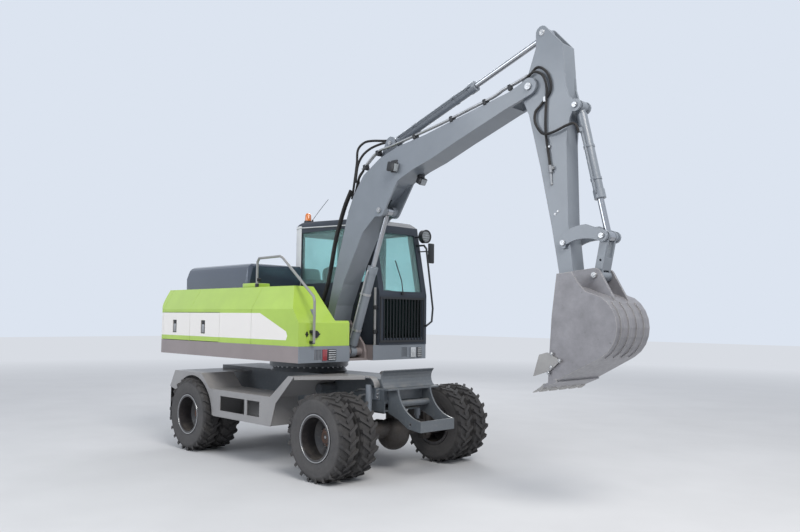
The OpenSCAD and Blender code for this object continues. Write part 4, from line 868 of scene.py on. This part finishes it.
# Each clamp's x, z and inner end. The last one stays clear of the arm, which swings up beside it
CLAMPS = [(1.400, 3.868, -0.171), (1.640, 4.020, -0.171), (2.300, 4.126, -0.171), (2.900, 4.234, -0.171),
          (3.400, 4.336, -0.171), (3.750, 4.428, -0.201)]
CLAMP_OUT = -0.257

bm = bmesh.new()
for y, shift in ((-0.236, 0.0), (-0.196, 0.008)):
    add_tube(bm, smooth_path([at(x - shift, y, z + shift) for x, z in UPPER_PIPE], 4), PIPE_R)
finish_piece("boom_pipes", bm, "boom", "bright", 50)
bm = bmesh.new()
for x, z, inner in CLAMPS:
    middle = (inner + CLAMP_OUT) / 2
    add_box(bm, at(x, middle, z - 0.006), (0.040, inner - CLAMP_OUT, 0.066), 0.006, tilt(-12))
finish_piece("pipe_clamps", bm, "boom", "guard")
bm = bmesh.new()
add_tube(bm, smooth_path([at(1.086, -0.176, 1.640), at(1.150, -0.178, 1.800), at(1.385, -0.178, 2.440),
                          at(1.412, -0.150, 2.510)]), CYLINDER_PIPE_R)
finish_piece("boom_cylinder_pipe", bm, "boom_tube", "bright", 50)
bm = bmesh.new()
start, along = cylinder_line("boom_cyl_base", "boom_cyl_eye")
add_bands(bm, start, along, (0.300, 0.800), tube_r=0.0628, thick=0.0062, wide=0.030, lug_y=-0.082,
          lug_deep=0.034)
finish_piece("boom_cylinder_bands", bm, "boom_tube", "bright", 30)

bm = bmesh.new()
high_loop = [at(0.985, BOOM_Y, 3.500), at(1.030, BOOM_Y, 3.740), at(1.058, BOOM_Y, 3.900),
             at(1.074, BOOM_Y, 4.001), at(1.090, BOOM_Y, 4.163), at(1.210, BOOM_Y, 4.240),
             at(1.369, BOOM_Y, 4.242), at(1.600, BOOM_Y, 4.205), at(1.740, BOOM_Y, 4.188)]
low_loop = [at(1.120, -0.150, 3.700), at(1.155, -0.160, 3.860), at(1.199, -0.165, 3.967),
            at(1.290, -0.165, 4.060), at(1.430, -0.160, 4.122), at(1.600, -0.150, 4.152),
            at(1.740, -0.140, 4.158)]
for route in (high_loop, low_loop):
    add_tube(bm, smooth_path(route), BOOM_HOSE_R)
for y, back in ((-0.030, 0.050), (-0.150, 0.0)):
    route = [at(1.347, -0.210, 3.833), at(1.240, -0.200, 3.730), at(1.120 - back, y, 3.560),
             at(1.000 - back, y, 3.300)]
    add_tube(bm, smooth_path(route), BOOM_HOSE_R)
finish_piece("boom_hoses", bm, "boom", "rubber", 50)
bm = bmesh.new()
for y, back in ((-0.205, 0.0), (-0.150, 0.035), (-0.030, 0.035), (0.025, 0.0)):
    route = [at(x - back, y, z) for x, z in ((1.085, 3.600), (0.959, 3.395), (0.845, 3.130), (0.762, 2.891),
                                             (0.685, 2.565), (0.619, 2.338), (0.520, 2.130), (0.400, 1.960),
                                             (0.330, 1.700))]
    add_ribbed_hose(bm, smooth_path(route), HOUSE_HOSE_R)
house_hoses = finish_piece("house_hoses", bm, None, "rubber", 60)
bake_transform(house_hoses)

# The name, the centre, the size, the way it looks, and the bracket's centre and size
BOOM_LAMPS = [("side", at(1.976, -0.292, 3.780), (0.130, 0.084, 0.120), (1, 0, -0.25),
               at(1.960, -0.246, 3.800), (0.110, 0.010, 0.150), 0.003),
              ("belly", at(2.215, -0.015, 3.612), (0.090, 0.110, 0.090), (1, 0, -0.6),
               at(2.205, -0.015, 3.668), (0.050, 0.090, 0.050), 0.004)]
for name, place, size, front, bracket, bracket_size, bracket_edge in BOOM_LAMPS:
    turn = Vector(front).to_track_quat("X", "Z").to_matrix().to_4x4()
    bm = bmesh.new()
    add_box(bm, place, size, 0.014, turn)
    add_box(bm, bracket, bracket_size, bracket_edge)
    finish_piece(f"boom_lamp_{name}", bm, "boom", "black_plastic")
    bm = bmesh.new()
    glass_centre = place + turn @ Vector((size[0] / 2 + 0.001, 0, 0))
    add_box(bm, glass_centre, (0.004, size[1] * 0.8, size[2] * 0.8), 0.0015, turn)
    finish_piece(f"boom_lamp_glass_{name}", bm, "boom", "lamp_glass")

# Arm: hoses over the boom's tip, their fittings, and the pipes along the bucket and arm cylinders

ARM_HOSE_R = 0.0135
ARM_FACE_Y = -0.214

bm = bmesh.new()
long_hose = [at(3.965, -0.228, 4.494), at(4.070, -0.230, 4.528), at(4.159, -0.232, 4.482),
             at(4.204, -0.226, 4.397), at(4.215, -0.218, 4.298), at(4.203, ARM_FACE_Y, 4.151),
             at(4.195, ARM_FACE_Y, 3.966), at(4.202, ARM_FACE_Y, 3.823), at(4.224, ARM_FACE_Y, 3.671),
             at(4.256, ARM_FACE_Y, 3.467)]
short_hose = [at(3.965, -0.192, 4.500), at(4.080, -0.200, 4.580), at(4.190, ARM_FACE_Y, 4.520),
              at(4.250, ARM_FACE_Y, 4.420), at(4.262, ARM_FACE_Y, 4.300), at(4.192, ARM_FACE_Y, 4.200)]
for route in (long_hose, short_hose):
    add_tube(bm, smooth_path(route), ARM_HOSE_R)
tip_hoses = finish_piece("tip_hoses", bm, None, "rubber", 50)
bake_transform(tip_hoses)
bm = bmesh.new()
add_tube(bm, smooth_path([at(4.192, ARM_FACE_Y, 4.210), at(4.133, -0.216, 4.150), at(4.074, -0.220, 4.092),
                          at(4.069, -0.222, 3.989), at(4.125, -0.220, 3.884), at(4.202, -0.238, 3.833),
                          at(4.313, -0.240, 3.836), at(4.475, -0.236, 3.881), at(4.560, -0.228, 3.880),
                          at(4.591, -0.205, 3.790)]), ARM_HOSE_R)
finish_piece("arm_hose", bm, "arm", "rubber", 50)

# The two ends, the radius, the count of sides and the chamfer
FITTINGS = [(at(4.251, ARM_FACE_Y, 3.500), at(4.263, ARM_FACE_Y, 3.420), 0.022, 6, 0.002),
            (at(4.257, ARM_FACE_Y, 3.462), at(4.300, ARM_FACE_Y, 3.470), 0.018, 6, 0.002),
            (at(4.192, ARM_FACE_Y, 4.235), at(4.192, ARM_FACE_Y, 4.180), 0.022, 6, 0.002),
            (at(4.256, -0.205, 3.420), at(4.262, -0.205, 3.300), 0.011, 10, 0.0),
            (at(4.262, -0.205, 3.305), at(4.262, -0.196, 3.300), 0.013, 10, 0.0)]
bm = bmesh.new()
for low_end, high_end, r, sides, chamfer in FITTINGS:
    add_rod(bm, low_end, high_end, r, sides, chamfer)
add_box(bm, at(4.222, -0.206, 3.700), (0.060, 0.020, 0.030), 0.004)
for x, z in ((4.300, 2.985), (4.334, 3.012)):
    add_bolt(bm, at(x, -0.196, z), (0, -1, 0), 0.010, 0.010)
finish_piece("arm_fittings", bm, "arm", "bright", 30)

bm = bmesh.new()
start, along = cylinder_line("bucket_cyl_base", "link_top")
pipe = beside(start, along, [(0.300, -0.100), (0.360, -0.078), (0.880, -0.078), (0.950, -0.058)])
add_tube(bm, smooth_path(pipe), CYLINDER_PIPE_R)
add_lathe(bm, [(0, 0.020), (0.045, 0.020)], facing(pipe[0] - 0.045 * along, along), 6)
add_bands(bm, start, along, (0.430, 0.780), tube_r=0.0528, thick=0.0052, wide=0.026, lug_y=-0.070,
          lug_deep=0.030)
finish_piece("bucket_cylinder_pipe", bm, "bucket_tube", "arm_grey", 40)
bm = bmesh.new()
start, along = cylinder_line("arm_cyl_base", "arm_cyl_eye")
pipe = beside(start, along, [(0.160, -0.075), (0.260, -0.084), (1.300, -0.084), (1.370, -0.064)])
add_tube(bm, smooth_path(pipe), CYLINDER_PIPE_R)
add_bands(bm, start, along, (0.420, 1.100), tube_r=0.0578, thick=0.0052, wide=0.026, lug_y=-0.075,
          lug_deep=0.030)
finish_piece("arm_cylinder_pipe", bm, "arm_tube", "arm_grey", 40)

# Bright pin heads, on both sides of the boom's plane, and the bolts of the side cutters

# The body, the pin, how far the head's seat is from the boom's plane, and the pin's radius
PIN_HEADS = [("house", "boom_foot", 0.203, 0.040), ("boom", "boom_cyl_eye", 0.164, 0.036),
             ("boom", "arm_cyl_base", 0.085, 0.029), ("boom", "boom_tip", 0.164, 0.039),
             ("arm", "arm_cyl_eye", 0.106, 0.034), ("arm", "bucket_cyl_base", 0.118, 0.029),
             ("rocker", "rocker", 0.149, 0.029), ("rocker", "link_top", 0.149, 0.029),
             ("bucket", "bucket", 0.153, 0.029), ("bucket", "link_low", 0.153, 0.029)]
for body, name, reach, r in PIN_HEADS:
    bm = bmesh.new()
    for side in (-1, 1):
        head = facing(at_pin(name, BOOM_Y + side * reach), (0, side, 0))
        add_lathe(bm, [(-0.004, r + 0.001), (0.004, r + 0.001), (0.007, r - 0.003), (0.007, 0.012),
                       (0.005, 0.010)], head, 32)
        add_bolt(bm, head @ Vector((r * 0.55, 0, 0.007)), (0, side, 0), 0.007, 0.008)
    finish_piece(f"pin_heads_{name}", bm, body, "bright", 30)

CUTTER_BOLTS = [(4.460, 1.569), (4.549, 1.508), (4.453, 1.439), (4.421, 1.383)]
bm = bmesh.new()
for side in (-1, 1):
    for x, z in CUTTER_BOLTS:
        add_bolt(bm, at(x, BOOM_Y + side * 0.4103, z), (0, side, 0), 0.014, 0.016)
finish_piece("cutter_bolts", bm, "bucket", "bright", 30)

# Floor, light and camera

FLOOR_HALF = 60.0


def studio_floor():
    """A pale floor, which takes the backdrop's colour far away, so that no dark band stands there."""
    corners = [(-FLOOR_HALF, -FLOOR_HALF, 0), (FLOOR_HALF, -FLOOR_HALF, 0), (FLOOR_HALF, FLOOR_HALF, 0),
               (-FLOOR_HALF, FLOOR_HALF, 0)]
    mesh = bpy.data.meshes.new("floor")
    mesh.from_pydata(corners, [], [(0, 1, 2, 3)])
    floor = bpy.data.objects.new("floor", mesh)
    scene.collection.objects.link(floor)
    n = new_surface("floor_look")
    n.colour(n.mix(n.patches(0.8, 0.3, 0.7), linear(208, 209, 212), linear(202, 203, 206)))
    n.set(Roughness=0.9)
    length = n.add("ShaderNodeVectorMath", operation="LENGTH")
    n.link(n.place, length.inputs[0])
    far = n.ramp(length.outputs["Value"], 7.0, 26.0, 0.0, 1.0)
    glow = n.add("ShaderNodeEmission", Color=linear(216, 220, 227))
    mixed = n.add("ShaderNodeMixShader")
    n.link(n.math("MULTIPLY", far, n.seen_sharply()), mixed.inputs["Fac"])
    n.link(n.shader.outputs["BSDF"], mixed.inputs[1])
    n.link(glow.outputs["Emission"], mixed.inputs[2])
    n.link(mixed.outputs["Shader"], n.tree.nodes["Material Output"].inputs["Surface"])
    mesh.materials.append(n.material)


def studio_world():
    """A soft even light, and a pale backdrop for the camera, for gloss and through glass."""
    world = bpy.data.worlds.new("studio")
    scene.world = world
    world.use_nodes = True
    n = Tree(world.node_tree)
    light = n.tree.nodes["Background"]
    light.inputs["Color"].default_value = (0.90, 0.94, 1.0, 1)
    light.inputs["Strength"].default_value = 0.58
    backdrop = n.add("ShaderNodeBackground", Color=linear(220, 228, 240), Strength=1.0)
    mixed = n.add("ShaderNodeMixShader")
    n.link(n.seen_sharply(), mixed.inputs["Fac"])
    n.link(light.outputs["Background"], mixed.inputs[1])
    n.link(backdrop.outputs["Background"], mixed.inputs[2])
    n.link(mixed.outputs["Shader"], n.tree.nodes["World Output"].inputs["Surface"])


def area_light(name, place, target, size, power, colour):
    light = bpy.data.lights.new(name, "AREA")
    light.shape = "RECTANGLE"
    light.size, light.size_y = size
    light.energy = power
    light.color = colour
    lamp = bpy.data.objects.new(name, light)
    lamp.location = place
    lamp.rotation_euler = (Vector(target) - Vector(place)).to_track_quat("-Z", "Y").to_euler()
    scene.collection.objects.link(lamp)


studio_floor()
studio_world()
area_light("key", (9.0, -3.5, 11.0), (0.5, 0, 1.8), (6, 6), 1200, (1.0, 0.97, 0.92))
area_light("fill", (-3.0, -12.0, 6.0), (0, 0, 1.5), (8, 6), 500, (0.92, 0.96, 1.0))
area_light("rim", (-8.0, 9.0, 9.0), (0, 0, 2.0), (6, 6), 500, (1.0, 1.0, 1.0))

# Camera place and direction, from the wheels and pins that the photograph shows
CAMERA_PLACE = at(8.691, -6.761, 1.897)
CAMERA_YAW = math.radians(135.406)
CAMERA_PITCH = math.radians(3.965)
CAMERA_ROLL = math.radians(0.640)
SENSOR_WIDTH = 36.0
LENS = 34.04

flat = math.cos(CAMERA_PITCH)
ahead = Vector((flat * math.cos(CAMERA_YAW), flat * math.sin(CAMERA_YAW), math.sin(CAMERA_PITCH)))
level = Vector((math.sin(CAMERA_YAW), -math.cos(CAMERA_YAW), 0))
over = level.cross(ahead)
right = math.cos(CAMERA_ROLL) * level + math.sin(CAMERA_ROLL) * over
up = math.cos(CAMERA_ROLL) * over - math.sin(CAMERA_ROLL) * level
camera_data = bpy.data.cameras.new("camera")
camera_data.sensor_width = SENSOR_WIDTH
camera_data.lens = LENS
camera_data.clip_end = 300
camera = bpy.data.objects.new("camera", camera_data)
turn = Matrix((right, up, -ahead)).transposed().to_4x4()
camera.matrix_world = Matrix.Translation(CAMERA_PLACE) @ turn
scene.collection.objects.link(camera)
scene.camera = camera
scene.view_settings.view_transform = "Standard"
